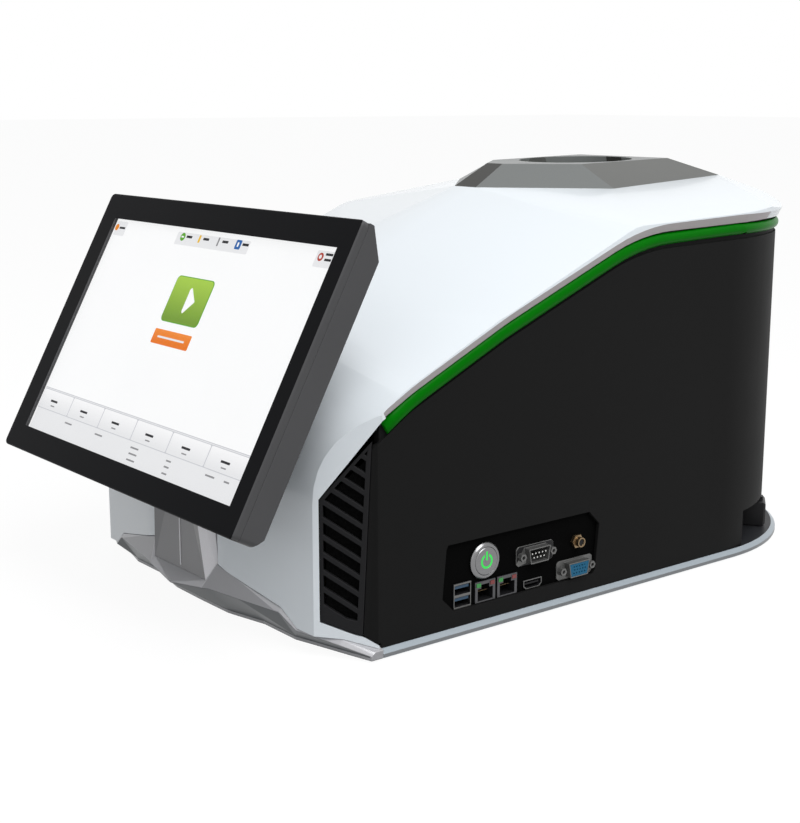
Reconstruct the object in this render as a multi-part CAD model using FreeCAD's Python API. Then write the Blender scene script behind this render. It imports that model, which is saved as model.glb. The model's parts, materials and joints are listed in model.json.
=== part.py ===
import FreeCAD, Part
import math
import os

# Benchtop NMR spectrometer, in millimetres.
# X runs to the user's right, Y to the rear and Z up. While it is built, y = 0 lies at the front corners
# of the base; save() then sets every piece back so that the origin is under the middle of the whole.

V = FreeCAD.Vector

# Base
BASE_HALF = 150.0          # half the width of the base
BASE_REAR = 443.0          # rear edge of the base
BASE_CORNER_R = 130.0      # rear corner radius of the base in plan
FOOT_GAP = 1.0             # gap that the feet hold under the base
BASE_EDGE = 2.5            # height of the base's upright edge
BASE_TOP = 6.0             # top of the base's ledge
LEDGE = 3.0                # width of the chamfer on the base's edge
CHIN_SPLIT = 8.6           # where the chin meets the base tray
FOOT_R = 11.0              # rubber foot
FOOT_INSET = 34.0          # foot centre from the base's side
FOOT_SINK = 3.0            # how far a foot is let into the tray
SCREW_HEAD_R = 3.4
SCREW_HEAD = 1.6
SCREW_INSET = 17.0         # screw centre from the base's side

# Body
HOOD_HALF = BASE_HALF      # half the width over the hood's lip
REAR_LEDGE = 15.5          # the base stands out this far behind the hood
HOOD_REAR = BASE_REAR - REAR_LEDGE
HOOD_CORNER_R = 124.0      # rear corner radius of the hood in plan
HOOD_WALL = 3.0            # hood wall
COVER_IN = 3.0             # the black cover's sides lie this far inside the hood's lip
COVER_IN_REAR = 2.0        # and its rear this far
WRAP_HALF = HOOD_HALF - COVER_IN
WRAP_REAR = HOOD_REAR - COVER_IN_REAR
WRAP_CORNER_R = 124.0      # rear corner radius of the black cover
WRAP_WALL = 2.5            # black cover wall
RIM_WALL = 4.0             # thicker rim inside the cover that carries the bead and the hood
FACET_BACK = 2.0           # grilles behind the hood's slanting corner, along X
CORNER_CUT = 8.0           # the slanting front corner meets the hood's side this far back
FACET = HOOD_HALF - CORNER_CUT   # x - y on the slanting front corners
LIP_EDGE = 5.5             # height of the hood's edge
LIP_UNDER = 2.3            # how far that edge slants in towards the bead
BEAD_R = 4.7               # half the height of the green bead
BEAD_BULGE = 3.4           # how far the bead stands out from its seat
BEAD_SIDES = 8             # flats across the bead's section
BEAD_PROUD = 1.6           # how far the bead's seat lies behind the cover's face
BEAD_CLEAR = 1.4           # from the bead down to the cover's upper edge
SEAM = 0.3                 # gap between neighbouring covers

# Hood lines: half width, y and z of the crease beside the middle band, and y and z of the lip
FRONT_Y = -31.0            # front face at the middle
FRONT_SIDE_Y = -15.7       # the front face carried on to the lip's width
CREASE_FOOT_X = 48.0
CREASE_START_Z = 100.0     # where the front face starts to roll back, at the crease
LIP_START_Z = 85.0         # and at the lip
BROW_Y = 30.0              # where the rolled front meets the sloping top
ROLL_FLATS = 10            # flats round that roll
BROW_CREASE = (37.0, 189.0)
BROW_LIP_Z = 155.7
MID_Y = 100.0
MID_CREASE = (25.4, 215.2)
MID_LIP_Z = 188.3
RING_FRONT = (11.0, 195.0, 251.0)
RING_SIDE = (79.0, 258.0, 251.0)
RING_REAR = (68.0, 378.0, 256.0)
BEND_Y = 212.0             # the lip's bend
BEND_LIP_Z = 233.5
TAIL_Y = 340.0
TAIL_LIP_Z = 237.6
LIP_BENDS = (150.0, 150.0, 150.0, 400.0)   # radii of the lip line's bends, from the front
REAR_LIP_Z = 236.6         # hood edge at the rear

# Sample port and magnet
BORE_Y = 300.0             # the vertical sample axis
TUBE_R = 2.6               # bore for a 5 mm sample tube
LINER_R = 5.0
DISH_R = 41.5
DISH_DEPTH = 13.0
DISH_WALL = 2.0
COLLAR_R = 14.0
COLLAR_H = 5.0
BEZEL_RIM = [(8.0, 222.0, 266.0), (45.0, 261.0, 266.0), (44.5, 349.0, 268.0)]   # rim corners round the dish
YOKE_R = 90.0
YOKE_WALL = 18.0
YOKE_SIDES = 24            # flats round the yoke and its end plates
YOKE_H = 150.0
MAGNET_BORE = 26.0
MAGNETS = 12
PLATE_T = 8.0
MOUNT_H = 18.0
MOUNT_R = 12.0
STEM_R = 13.0              # probe's stem through the lower plate
COIL_R = 5.0
COIL_SEAT = 14.0           # the coil's pocket reaches this far up and down from the middle
COIL_TURNS = 4

# Vent grilles on the front corners
GRILLE_T = 3.0
GRILLE_LEAN = 8.5          # how far the cover returns round the corner at its foot
GRILLE_LOW = 13.5          # foot of that return
GRILLE_HIGH = 131.0        # top of the slanting corner's panel
COVER_LOW = 9.0            # lower end of the cover's front edge
GRILLE_W = 34.0            # width along the slanting corner
SLOTS = 11
SLOT_PITCH = 10.2
SLOT_H = 7.0
SLOT_DROP = 0.62           # fall of a slot per millimetre towards the rear
FILTER_T = 5.0

# Connector plate on the right side
PORT_FRONT = 54.0          # front edge of the opening
PORT_REAR = 179.5
PORT_LOW = 16.0
PORT_HIGH = 57.0
PORT_CHAMFER = 9.0
PORT_LEAN = 3.0            # the opening's ends lean by this much
PLATE_GAP = 0.3            # plate behind the inner face of the cover
PORT_PLATE_T = 2.0
BUTTON_AT = (88.0, 41.8)
BUTTON_R = 11.4
BUTTON_CAP_R = 8.6
BUTTON_TRAVEL = 1.5
SERIAL_AT = (129.0, 38.4)
VIDEO_AT = (163.2, 22.6)
RADIO_AT = (164.5, 39.5)
JACK_AT = (88.6, 22.8)
JACK_PITCH = 17.6
JACK_HALF = 6.5
SHANK_REACH = 12.5         # jackscrew from the middle of its socket
THREAD_R = 3.1             # coaxial jack's thread
USB_AT = (70.8, 23.8)
HDMI_AT = (127.6, 19.4)
BOARD_T = 1.6

# Electronics on the tray
STANDOFF_H = 18.0
MAIN_LEFT = 45.0           # spectrometer board from the base's left edge
MAIN_RIGHT = 90.0          # and from its right edge
MAIN_FRONT = 30.0
MAIN_DEEP = 140.0
CASE_LEFT = 18.0           # power module from the base's left edge
CASE_W = 20.0
CASE_FRONT = 40.0
CASE_DEEP = 140.0
CASE_H = 70.0

# Touch screen
SCREEN_W = 284.2
SCREEN_H = 183.2
SCREEN_T = 20.0
SCREEN_AT = (-41.4, 166.7)  # y and z of the middle of the front face
SCREEN_TILT = 28.4          # lean back from upright, in degrees
FRAME_T = 5.0
EDGE_LEFT = 18.4
EDGE_RIGHT = 13.5
EDGE_TOP = 17.4
EDGE_BOTTOM = 16.0
GLASS_T = 1.5
GLASS_LAP = 2.0
GLASS_SET = 1.2
COVER_WALL = 2.4
COVER_SLOPE = 16.0
HINGE_DEPTH = 31.0          # hinge axis behind the front face
HINGE_DROP = 40.3           # and below its middle
KNUCKLE_R = 7.0
PIN_R = 3.0
PIN_PLAY = 0.05
KNUCKLE_HALF = 12.0         # half the width of the screen's knuckle
CHEEK_W = 9.0
CHEEK_GAP = 0.3

# Column
COLUMN_TOP = 100.0
COLUMN_FOOT_HALF = 31.0
COLUMN_TOP_HALF = 21.0
COLUMN_VALLEY_Y = -34.5
COLUMN_BACK_Y = -12.0
COLUMN_FOOT_Z = 25.0

# Fan
FAN_SIZE = 80.0
FAN_T = 25.0
FAN_Z = 120.0
FAN_R = 37.0
FAN_HUB_R = 15.0
FAN_BLADES = 7
FAN_SHAFT_R = 2.0
FAN_PLAY = 0.05
FAN_CLEAR = 0.4048          # play between the flat frame's edges and the rounded rear wall

# The overall reach sets the origin: the screen's lower front edge and the base's rear edge
TILT = math.radians(SCREEN_TILT)
SCREEN_REACH = SCREEN_AT[0] - SCREEN_H / 2 * math.sin(TILT)
MIDDLE_Y = (SCREEN_REACH + BASE_REAR) / 2


def save(name, shape):
    """Set the piece back to the origin under the middle and write it."""
    placed = shape.copy()
    placed.translate(V(0, -MIDDLE_Y, 0))
    if not placed.isValid():
        print("not valid:", name)
    placed.exportStep("parts/" + name + ".step")


def box(x0, x1, y0, y1, z0, z1):
    """Box between two corners."""
    return Part.makeBox(x1 - x0, y1 - y0, z1 - z0, V(x0, y0, z0))


def polygon(points):
    """Closed wire through points."""
    corners = [V(*p) for p in points]
    return Part.makePolygon(corners + corners[:1])


def face(points):
    """Flat face inside a closed outline."""
    return Part.Face(polygon(points))


def prism_z(points, z0, z1):
    """Plan outline pulled up between two heights."""
    return face([(x, y, z0) for x, y in points]).extrude(V(0, 0, z1 - z0))


def prism_x(points, x0, x1):
    """Side outline, as y and z, pulled across between two x."""
    return face([(x0, y, z) for y, z in points]).extrude(V(x1 - x0, 0, 0))


def prism_y(points, y0, y1):
    """Front outline, as x and z, pulled back between two y."""
    return face([(x, y0, z) for x, z in points]).extrude(V(0, y1 - y0, 0))


def rod_x(r, x0, x1, y, z):
    """Cylinder along X."""
    return Part.makeCylinder(r, x1 - x0, V(x0, y, z), V(1, 0, 0))


def rod_y(r, y0, y1, x, z):
    """Cylinder along Y."""
    return Part.makeCylinder(r, y1 - y0, V(x, y0, z), V(0, 1, 0))


def rod_z(r, z0, z1, x, y):
    """Cylinder along Z."""
    return Part.makeCylinder(r, z1 - z0, V(x, y, z0), V(0, 0, 1))


def ngon(r, x, y, sides):
    """Corners of a regular outline round a centre."""
    turn = 2 * math.pi / sides
    return [(x + r * math.cos(turn * k), y + r * math.sin(turn * k)) for k in range(sides)]


def solid_of(faces):
    """Solid inside a closed set of faces."""
    shell = Part.Shell(faces)
    shell.sewShape()
    solid = Part.Solid(shell)
    return solid if solid.Volume > 0 else solid.reversed()


def folded(a, b, c, d, inside):
    """Two flat triangles over four corners, folded away from a point inside."""
    one = (V(*a) + V(*c)) * 0.5
    two = (V(*b) + V(*d)) * 0.5
    if one.distanceToPoint(inside) >= two.distanceToPoint(inside):
        return [face([a, b, c]), face([a, c, d])]
    return [face([a, b, d]), face([b, c, d])]


def faceted(outlines):
    """Solid through a row of outlines with equally many corners, each band folded into flat facets."""
    faces = [face(outlines[0]), face(outlines[-1])]
    for near, far in zip(outlines, outlines[1:]):
        points = [V(*p) for p in near + far]
        middle = sum(points[1:], points[0]) * (1.0 / len(points))
        for k in range(len(near)):
            j = (k + 1) % len(near)
            faces += folded(near[k], near[j], far[j], far[k], middle)
    return solid_of(faces).removeSplitter()


def mirrored(shape):
    """The same shape on the other side of the middle plane."""
    return shape.mirror(V(0, 0, 0), V(1, 0, 0))


def line(a, b):
    """Straight edge."""
    return Part.makeLine(V(*a), V(*b))


def plan(half, rear, corner_r, front, z0, z1):
    """Plan form with straight sides and round rear corners, pulled up. front holds the outline's front
    points on the right, from the side inwards."""
    cx = half - corner_r
    cy = rear - corner_r
    d = corner_r * math.sqrt(0.5)
    right = [(half, cy, z0), (cx + d, cy + d, z0), (cx, rear, z0)]
    left = [(-x, y, z) for x, y, z in right]
    edges = [Part.Arc(V(*right[0]), V(*right[1]), V(*right[2])).toShape(), line(right[2], left[2]),
             Part.Arc(V(*left[2]), V(*left[1]), V(*left[0])).toShape()]
    nose = [left[0]] + [(-x, y, z0) for x, y in front] + [(x, y, z0) for x, y in reversed(front)] + [right[0]]
    edges += [line(a, b) for a, b in zip(nose, nose[1:]) if a != b]
    return Part.Face(Part.Wire(edges)).extrude(V(0, 0, z1 - z0))


def hood_plan(inset, z0=-5.0, z1=300.0):
    """Plan form of the hood with its slanting front corners."""
    half = HOOD_HALF - inset
    facet = FACET - inset * math.sqrt(2)
    front = [(half, half - facet), (facet - 60.0, -60.0)]
    return plan(half, HOOD_REAR - inset, HOOD_CORNER_R - inset, front, z0, z1)


def wrap_plan(inset, front_y, z0=0.0, z1=300.0):
    """Plan form of the black cover, open to the front."""
    half = WRAP_HALF - inset
    return plan(half, WRAP_REAR - inset, WRAP_CORNER_R - inset, [(half, front_y)], z0, z1)


def hood_volume(inset):
    """All that lies under the hood's faceted top and rolled front, inset by a wall."""
    drop = inset * 1.1
    out = HOOD_HALF + 10.0

    def carried(c, l):
        """Ruling from the crease through the lip, carried on past the side."""
        k = (out - c[0]) / (l[0] - c[0])
        return (out, c[1] + (l[1] - c[1]) * k, c[2] + (l[2] - c[2]) * k)

    front = FRONT_Y + inset
    side = FRONT_SIDE_Y + inset
    crease_rise = (MID_CREASE[1] - BROW_CREASE[1]) / (MID_Y - BROW_Y)
    lip_rise = (MID_LIP_Z - BROW_LIP_Z) / (MID_Y - BROW_Y)
    foot = (CREASE_FOOT_X, front, 0.0)
    start = (CREASE_FOOT_X, front, CREASE_START_Z)
    pull = (CREASE_FOOT_X - 2, front, BROW_CREASE[1] - drop - crease_rise * (BROW_Y - front))
    brow = (BROW_CREASE[0], BROW_Y, BROW_CREASE[1] - drop)
    mid = (MID_CREASE[0], MID_Y, MID_CREASE[1] - drop)
    ring = [(x, y, z - drop) for x, y, z in (RING_FRONT, RING_SIDE, RING_REAR)]
    lip_foot = carried(foot, (HOOD_HALF, side, 0.0))
    lip_start = carried(start, (HOOD_HALF, side, LIP_START_Z))
    lip_pull = carried(pull, (HOOD_HALF, side, BROW_LIP_Z - drop - lip_rise * (BROW_Y - side)))
    lip_brow = carried(brow, (HOOD_HALF, BROW_Y, BROW_LIP_Z - drop))
    lip_mid = carried(mid, (HOOD_HALF, MID_Y, MID_LIP_Z - drop))
    lip_bend = carried(ring[1], (HOOD_HALF, BEND_Y, BEND_LIP_Z - drop))
    lip_tail = carried(ring[2], (HOOD_HALF, TAIL_Y, TAIL_LIP_Z - drop))
    back = (90.0, HOOD_REAR + 15.0, REAR_LIP_Z - drop - 3.0)

    def rolled(a, b, c):
        """Points along the rolled edge between two straights, in small flats."""
        steps = [k / ROLL_FLATS for k in range(ROLL_FLATS + 1)]
        return [tuple(p * (1 - t) ** 2 + q * 2 * t * (1 - t) + r * t ** 2 for p, q, r in zip(a, b, c))
                for t in steps]

    crease = [foot] + rolled(start, pull, brow) + [mid, ring[0]]
    lip = [lip_foot] + rolled(lip_start, lip_pull, lip_brow) + [lip_mid, lip_bend]
    core = V(0, BORE_Y, 0)
    right = []
    for near, far, far_lip, near_lip in zip(crease, crease[1:], lip[1:], lip):
        right += folded(near, far, far_lip, near_lip, core)
    low_tail = (lip_tail[0], lip_tail[1], 0.0)
    low_back = (back[0], back[1], 0.0)
    right.append(face([ring[0], ring[1], lip_bend]))
    right += folded(ring[1], ring[2], lip_tail, lip_bend, core)
    right.append(face([ring[2], lip_tail, back]))
    right.append(face([lip_tail, back, low_back, low_tail]))
    right.append(face(lip + [lip_tail, low_tail]))
    left = [mirrored(f) for f in right]
    middle = [face([a, b, (-b[0],) + b[1:], (-a[0],) + a[1:]]) for a, b in zip(crease, crease[1:])]
    middle.append(face([ring[0], ring[1], (-ring[1][0],) + ring[1][1:], (-ring[0][0],) + ring[0][1:]]))
    middle.append(face([ring[1], ring[2], (-ring[2][0],) + ring[2][1:], (-ring[1][0],) + ring[1][1:]]))
    middle.append(face([ring[2], back, (-back[0],) + back[1:], (-ring[2][0],) + ring[2][1:]]))
    middle.append(face([back, low_back, (-back[0], back[1], 0.0), (-back[0],) + back[1:]]))
    under = [foot, lip_foot, low_tail, low_back]
    middle.append(face(under + [(-x, y, z) for x, y, z in reversed(under)]))
    return solid_of(right + left + middle).removeSplitter()


def lip_line(drop):
    """Side outline of the hood's lip as y and z, lowered by drop, from the slanting corner to the rear."""
    start = (CORNER_CUT, 143.5)
    return [(y, z - drop) for y, z in (start, (BROW_Y, BROW_LIP_Z), (MID_Y, MID_LIP_Z), (BEND_Y, BEND_LIP_Z),
                                       (TAIL_Y, TAIL_LIP_Z - 1.0), (HOOD_REAR + 20.0, TAIL_LIP_Z - 1.0))]


def below_lip(drop):
    """Everything below the rounded lip line, lowered by drop, behind the front mask."""
    edge_y = FRONT_SIDE_Y - 1.7
    foot = [(HOOD_REAR + 20.0, -10.0), (6.6, -10.0), (6.6, COVER_LOW - 0.4), (0.8, GRILLE_LOW - 0.5),
            (-2.9, GRILLE_LOW + 0.6), (edge_y, 21.1), (edge_y, 98.0 - drop)]
    top = [(-200.0, y, z) for y, z in lip_line(drop)]
    chain = [top[-1]] + [(-200.0, y, z) for y, z in foot] + [top[0]]
    edges = rounded_path(top, LIP_BENDS).Edges + [line(a, b) for a, b in zip(chain, chain[1:])]
    return Part.Face(Part.Wire(edges)).extrude(V(400.0, 0, 0))


def lip_sweep(half, rear, corner_r, drop, start_y, section):
    """Solid swept along the lip on the left, round the rear corners and back. section holds the outline's
    points as steps outwards and upwards from the path."""
    rows = lip_line(drop)
    level = rows[-1][1]
    side = [(start_y, rows[0][1])] + rows[1:4] + [(TAIL_Y - 36.0, level)]
    right = [(half, y, z) for y, z in side] + [(half, rear, level)]
    radii = list(LIP_BENDS) + [corner_r]
    path = rounded_path(right + [(-x, y, z) for x, y, z in reversed(right)], radii + radii[::-1])
    rise = math.atan2(right[1][2] - right[0][2], right[1][1] - right[0][1])
    up = V(0, -math.sin(rise), math.cos(rise))
    outline = [V(*right[0]) + V(out, 0, 0) + up * lift for out, lift in section]
    sweep = Part.BRepOffsetAPI.MakePipeShell(path)
    sweep.setBiNormalMode(V(0, 0, 1))
    sweep.add(Part.makePolygon(outline + outline[:1]), False, False)
    sweep.build()
    sweep.makeSolid()
    return sweep.shape()


CHIN = [
    (0.0, -21.0, -43.0, 17.5, COLUMN_VALLEY_Y, 24.8),
    (31.0, -20.6, -39.0, 21.0, -35.6, 25.4),
    (37.0, -19.5, -37.5, 21.8, -31.4, 36.0),
    (62.0, -14.0, -32.5, 21.2, -28.9, 30.4),
    (95.0, -14.0, -25.8, 20.5, -24.2, 23.0),
    (108.0, -10.6, -22.8, 12.4, -22.2, 13.4),
    (134.0, -4.2, -11.0, 8.4, -8.6, 11.2),
    (BASE_HALF, 0.0, 1.0, 4.6, LEDGE, BASE_TOP),
]


def chin_section(x, foot_y, ridge_y, ridge_z, seam_y, seam_z):
    """Upright section through the chin at one x."""
    low = FOOT_GAP
    points = [(CHIN_SPLIT, low), (foot_y, low), (foot_y, low + BASE_EDGE), (ridge_y, ridge_z),
              (seam_y, seam_z), (CHIN_SPLIT, seam_z)]
    return [(x, y, z) for y, z in points]


def front_chin():
    """Faceted silver chin under the hood: flat facets between upright sections."""
    left = [(-row[0],) + row[1:] for row in reversed(CHIN[1:])]
    return faceted([chin_section(*row) for row in left + CHIN])


def mask_bottom():
    """Front outline below the hood's front face: the seam with the chin and the slot for the column."""
    slot = KNUCKLE_HALF + CHEEK_GAP + CHEEK_W + 3.0
    right = [(slot, COLUMN_TOP + 28.0), (slot, COLUMN_TOP + 6.0), (COLUMN_FOOT_HALF + 7.3, COLUMN_TOP + 6.0)]
    right += [(row[0] + (1.3 if i == 0 else 0.0), row[5] + SEAM) for i, row in enumerate(CHIN[2:])]
    right += [(200.0, BASE_TOP + SEAM), (200.0, -10.0)]
    return prism_y(right + [(-x, z) for x, z in reversed(right)], -80.0, CHIN_SPLIT)


def hood_shell():
    """White hood: faceted top, rolled front mask and an upright lip."""
    outer = hood_volume(0.0).common(hood_plan(0.0))
    inner = hood_volume(HOOD_WALL).common(hood_plan(HOOD_WALL))
    shell = outer.cut(inner).cut(below_lip(LIP_EDGE)).cut(mask_bottom())
    low = -(LIP_EDGE + 2.0)
    slant = LIP_UNDER / LIP_EDGE
    wedge = [(slant, 1.0), (4.0, 1.0), (4.0, low), (low * slant, low)]
    bevel = lip_sweep(HOOD_HALF, HOOD_REAR, HOOD_CORNER_R, 0.8, CORNER_CUT + 0.5, wedge)
    bevel = bevel.common(box(0.0, HOOD_HALF + 20.0, -100.0, HOOD_REAR + 20.0, -10.0, 400.0))
    shell = shell.cut(bevel).cut(mirrored(bevel))
    return shell.cut(rod_z(DISH_R + DISH_WALL + SEAM, 200.0, 300.0, 0.0, BORE_Y))


def base_tray():
    """Base tray with a chamfered edge and an upright wall inside the cover."""
    front = [(BASE_HALF, CHIN_SPLIT)]
    edge = plan(BASE_HALF, BASE_REAR, BASE_CORNER_R, front, FOOT_GAP, BASE_TOP)
    rims = [e for e in edge.Edges
            if abs(e.BoundBox.ZMin - BASE_TOP) < 1e-6 and e.BoundBox.YMax > CHIN_SPLIT + 1.0]
    plate = edge.makeChamfer(BASE_TOP - FOOT_GAP - BASE_EDGE, LEDGE, rims)
    gap = WRAP_WALL + SEAM
    wall = wrap_plan(gap, CHIN_SPLIT + SEAM, BASE_TOP, BASE_TOP + 9.0)
    wall = wall.cut(wrap_plan(gap + 2.5, CHIN_SPLIT + SEAM + 2.5, BASE_TOP - 1.0, BASE_TOP + 10.0))
    wall = wall.cut(box(NOTCH_END_X - 2.0, 200.0, NOTCH_LOW_Y - 6.0, BASE_REAR + 20.0,
                        BASE_TOP, BASE_TOP + 10.0))
    wall = wall.cut(box(BASE_HALF - 50.0, 200.0, PORT_FRONT - 7.0, PORT_REAR + 10.0,
                        BASE_TOP, BASE_TOP + 10.0))
    tray = plate.fuse(wall).removeSplitter()
    for x, y in foot_places():
        tray = tray.cut(rod_z(FOOT_R + 0.2, FOOT_GAP - 1.0, FOOT_GAP + FOOT_SINK, x, y))
    for x, y in screw_places():
        tray = tray.cut(prism_z(ngon(SCREW_HEAD_R, x, y, 12), FOOT_GAP - 1.0, FOOT_GAP + SCREW_HEAD))
    return tray


def foot_places():
    """Centres of the four feet."""
    x = BASE_HALF - FOOT_INSET
    return [(sx * x, y) for sx in (-1, 1) for y in (CHIN_SPLIT + FOOT_INSET, BASE_REAR - 3 * FOOT_INSET)]


def feet():
    """Four round rubber feet let into the tray."""
    return Part.makeCompound([rod_z(FOOT_R, 0.0, FOOT_GAP + FOOT_SINK, x, y) for x, y in foot_places()])


def port_outline(grow):
    """Side outline of the connector opening, with chamfered corners and leaning ends."""
    c = PORT_CHAMFER
    y0 = PORT_FRONT - grow
    y1 = PORT_REAR + grow
    z0 = PORT_LOW - grow
    z1 = PORT_HIGH + grow
    return [(y0 + c, z0), (y1 - 2.0, z0), (y1, z0 + 2.0), (y1 + PORT_LEAN, z1 - c), (y1 + PORT_LEAN - c, z1),
            (y0 + PORT_LEAN + 1.0, z1), (y0 + PORT_LEAN, z1 - 2.0), (y0, z0 + c)]


NOTCH_LOW_Y = WRAP_REAR - 97.5   # the inlet notch runs from here round the right rear corner
NOTCH_HIGH = 30.0
NOTCH_END_X = WRAP_HALF - 85.0


def notch():
    """Space of the inlet notch in the cover's lower edge at the right rear corner."""
    return box(NOTCH_END_X, 200.0, NOTCH_LOW_Y, BASE_REAR + 20.0, BASE_TOP - 1.0, NOTCH_HIGH)


def corner_return():
    """Part of the right and left cover that runs round on to the slanting corner, wider at its foot."""
    outline = [(0.0, COVER_LOW), (GRILLE_LEAN, GRILLE_LOW),
               (GRILLE_T, GRILLE_HIGH - GRILLE_T), (0.0, GRILLE_HIGH)]
    strip = box(WRAP_HALF - WRAP_WALL, WRAP_HALF, facet_place(0.0, 0.0)[1], CHIN_SPLIT + 1.0,
                COVER_LOW, GRILLE_HIGH + 10.0)
    side = strip.fuse(facet_prism(outline, 0.0, WRAP_WALL))
    return side.fuse(mirrored(side))


def wrap_cover():
    """Black cover: both sides and the rear in one sheet, with a stepped rim under the hood."""
    front_y = CHIN_SPLIT + 0.4
    sheet = wrap_plan(0.0, front_y).cut(wrap_plan(WRAP_WALL, front_y - 5.0))
    top = LIP_EDGE + 2 * BEAD_R + BEAD_CLEAR
    sheet = sheet.fuse(corner_return()).common(below_lip(top))
    start = lip_line(top)
    front_cut = [(0.0, start[0][1] - 7.5), (BROW_Y, start[1][1]), (BROW_Y, 200.0), (0.0, 200.0)]
    sheet = sheet.cut(prism_x(front_cut, -200.0, 200.0))
    rim = wrap_plan(BEAD_PROUD, front_y).cut(wrap_plan(WRAP_WALL + RIM_WALL, front_y - 5.0))
    rim = rim.cut(below_lip(LIP_EDGE + 2 * BEAD_R + 8.0))
    rim = rim.common(hood_volume(HOOD_WALL + SEAM)).common(hood_plan(HOOD_WALL + SEAM))
    cover = sheet.fuse(rim).cut(box(-200.0, 200.0, -80.0, BASE_REAR + 20.0, -1.0, BASE_TOP))
    cover = cover.cut(prism_x(port_outline(0.0), 100.0, 200.0)).cut(notch())
    for k in range(12):
        a = 2 * math.pi * k / 12
        outline = [(0.0, 21.5), (2.5, 24.0), (2.5, 34.0), (0.0, 36.5), (-2.5, 34.0), (-2.5, 24.0)]
        slot = prism_y([(x, FAN_Z + z) for x, z in outline], WRAP_REAR - 8.0, WRAP_REAR + 1.0)
        slot.rotate(V(0, WRAP_REAR, FAN_Z), V(0, 1, 0), math.degrees(a))
        cover = cover.cut(slot)
    return cover


def rounded_path(points, radii):
    """Wire of straight runs joined by tangent arcs."""
    corners = [V(*p) for p in points]
    edges = []
    last = corners[0]
    for before, at, after, r in zip(corners, corners[1:], corners[2:], radii):
        u = (before - at).normalize()
        w = (after - at).normalize()
        half_turn = (math.pi - u.getAngle(w)) / 2
        reach = r * math.tan(half_turn)
        a = at + u * reach
        b = at + w * reach
        bisector = (u + w).normalize()
        mid = at + bisector * (r / math.cos(half_turn) - r)
        edges += [Part.makeLine(last, a), Part.Arc(a, mid, b).toShape()]
        last = b
    edges.append(Part.makeLine(last, corners[-1]))
    return Part.Wire(edges)


def accent_strip():
    """Green bead swept along the lip, round the rear corners and back."""
    high = BEAD_R - 0.25
    turns = [math.pi * (k / BEAD_SIDES - 0.5) for k in range(BEAD_SIDES + 1)]
    section = [(BEAD_BULGE * math.cos(a), high * math.sin(a)) for a in turns]
    section = [(0.0, -high)] + section[1:-1] + [(0.0, high)]
    drop = LIP_EDGE + BEAD_R + 0.25
    return lip_sweep(WRAP_HALF - BEAD_PROUD, WRAP_REAR - BEAD_PROUD, WRAP_CORNER_R - BEAD_PROUD, drop,
                     CHIN_SPLIT + 3.4, section)


def facet_place(u, z, depth=0.0):
    """Point on the right slanting corner: u from the rear edge of the corner, depth inwards."""
    s = math.sqrt(0.5)
    corner_y = WRAP_HALF - (FACET - FACET_BACK)
    return (WRAP_HALF - u * s - depth * s, corner_y - u * s + depth * s, z)


def facet_prism(outline, d0, d1):
    """Outline on the slanting corner pulled inwards between two depths."""
    s = math.sqrt(0.5)
    return face([facet_place(u, z, d0) for u, z in outline]).extrude(V(-s, s, 0) * (d1 - d0))


GRILLE = [(GRILLE_LEAN + 0.3, GRILLE_LOW), (GRILLE_T + 0.3, GRILLE_HIGH - GRILLE_T - 2.0), (GRILLE_W, 91.5),
          (GRILLE_W, 21.5), (14.0, 14.5)]
SLOT_FIELD = [(6.6, 116.0), (5.6, 121.0), (GRILLE_W - 3.0, 91.0), (GRILLE_W - 3.0, 26.0), (12.0, 22.0)]


def vent_grille():
    """Right vent grille: a framed plate with slanting slots and slats set between them."""
    plate = facet_prism(GRILLE, 0.0, GRILLE_T)
    field = facet_prism(SLOT_FIELD, -1.0, GRILLE_T + 1.0)
    for k in range(SLOTS):
        z = 12.0 + SLOT_PITCH * k
        w = GRILLE_W
        slot = [(0.0, z), (w, z + w * SLOT_DROP), (w, z + w * SLOT_DROP + SLOT_H), (0.0, z + SLOT_H)]
        plate = plate.cut(facet_prism(slot, -1.0, GRILLE_T + 1.0).common(field))
    return plate


def vent_filter():
    """Foam filter pad behind the grille."""
    pad = [(2.0, 16.0), (2.0, 120.0), (GRILLE_W - 4.0, 91.0), (GRILLE_W - 4.0, 26.0), (14.0, 18.0)]
    return facet_prism(pad, GRILLE_T + 0.2, GRILLE_T + 0.2 + FILTER_T)


def top_bezel():
    """Faceted satin metal bezel: planes from the hood up to a rim round the dish."""
    rim = BEZEL_RIM
    ring = [RING_FRONT, RING_SIDE, RING_REAR]

    def both(points):
        """Points with their mirror images, as one closed outline."""
        return points + [(-x, y, z) for x, y, z in reversed(points)]

    faces = []
    for (a, b), (c, d) in zip(zip(ring, ring[1:]), zip(rim, rim[1:])):
        faces += [face([a, b, d]), face([a, d, c])]
    left = [mirrored(f) for f in faces]
    mirror = [[(-x, y, z) for x, y, z in points] for points in (ring, rim)]
    faces += left
    for k in (0, 2):
        faces.append(face([ring[k], rim[k], mirror[1][k], mirror[0][k]]))
    for points in (ring, rim):
        for k in (0, 1):
            a, b = points[k], points[k + 1]
            faces.append(face([a, b, (-b[0],) + b[1:], (-a[0],) + a[1:]]))
    solid = solid_of(faces)
    solid = solid.cut(Part.makeCone(DISH_R + 0.4, DISH_R - 1.5, 40.0, V(0, BORE_Y, 240.0), V(0, 0, 1)))
    return solid.cut(rod_z(DISH_R + DISH_WALL + SEAM, 200.0, 252.0, 0.0, BORE_Y))


def dish_floor():
    """Height of the dish's upper floor."""
    return RING_SIDE[2] - DISH_DEPTH + 6.0


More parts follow.
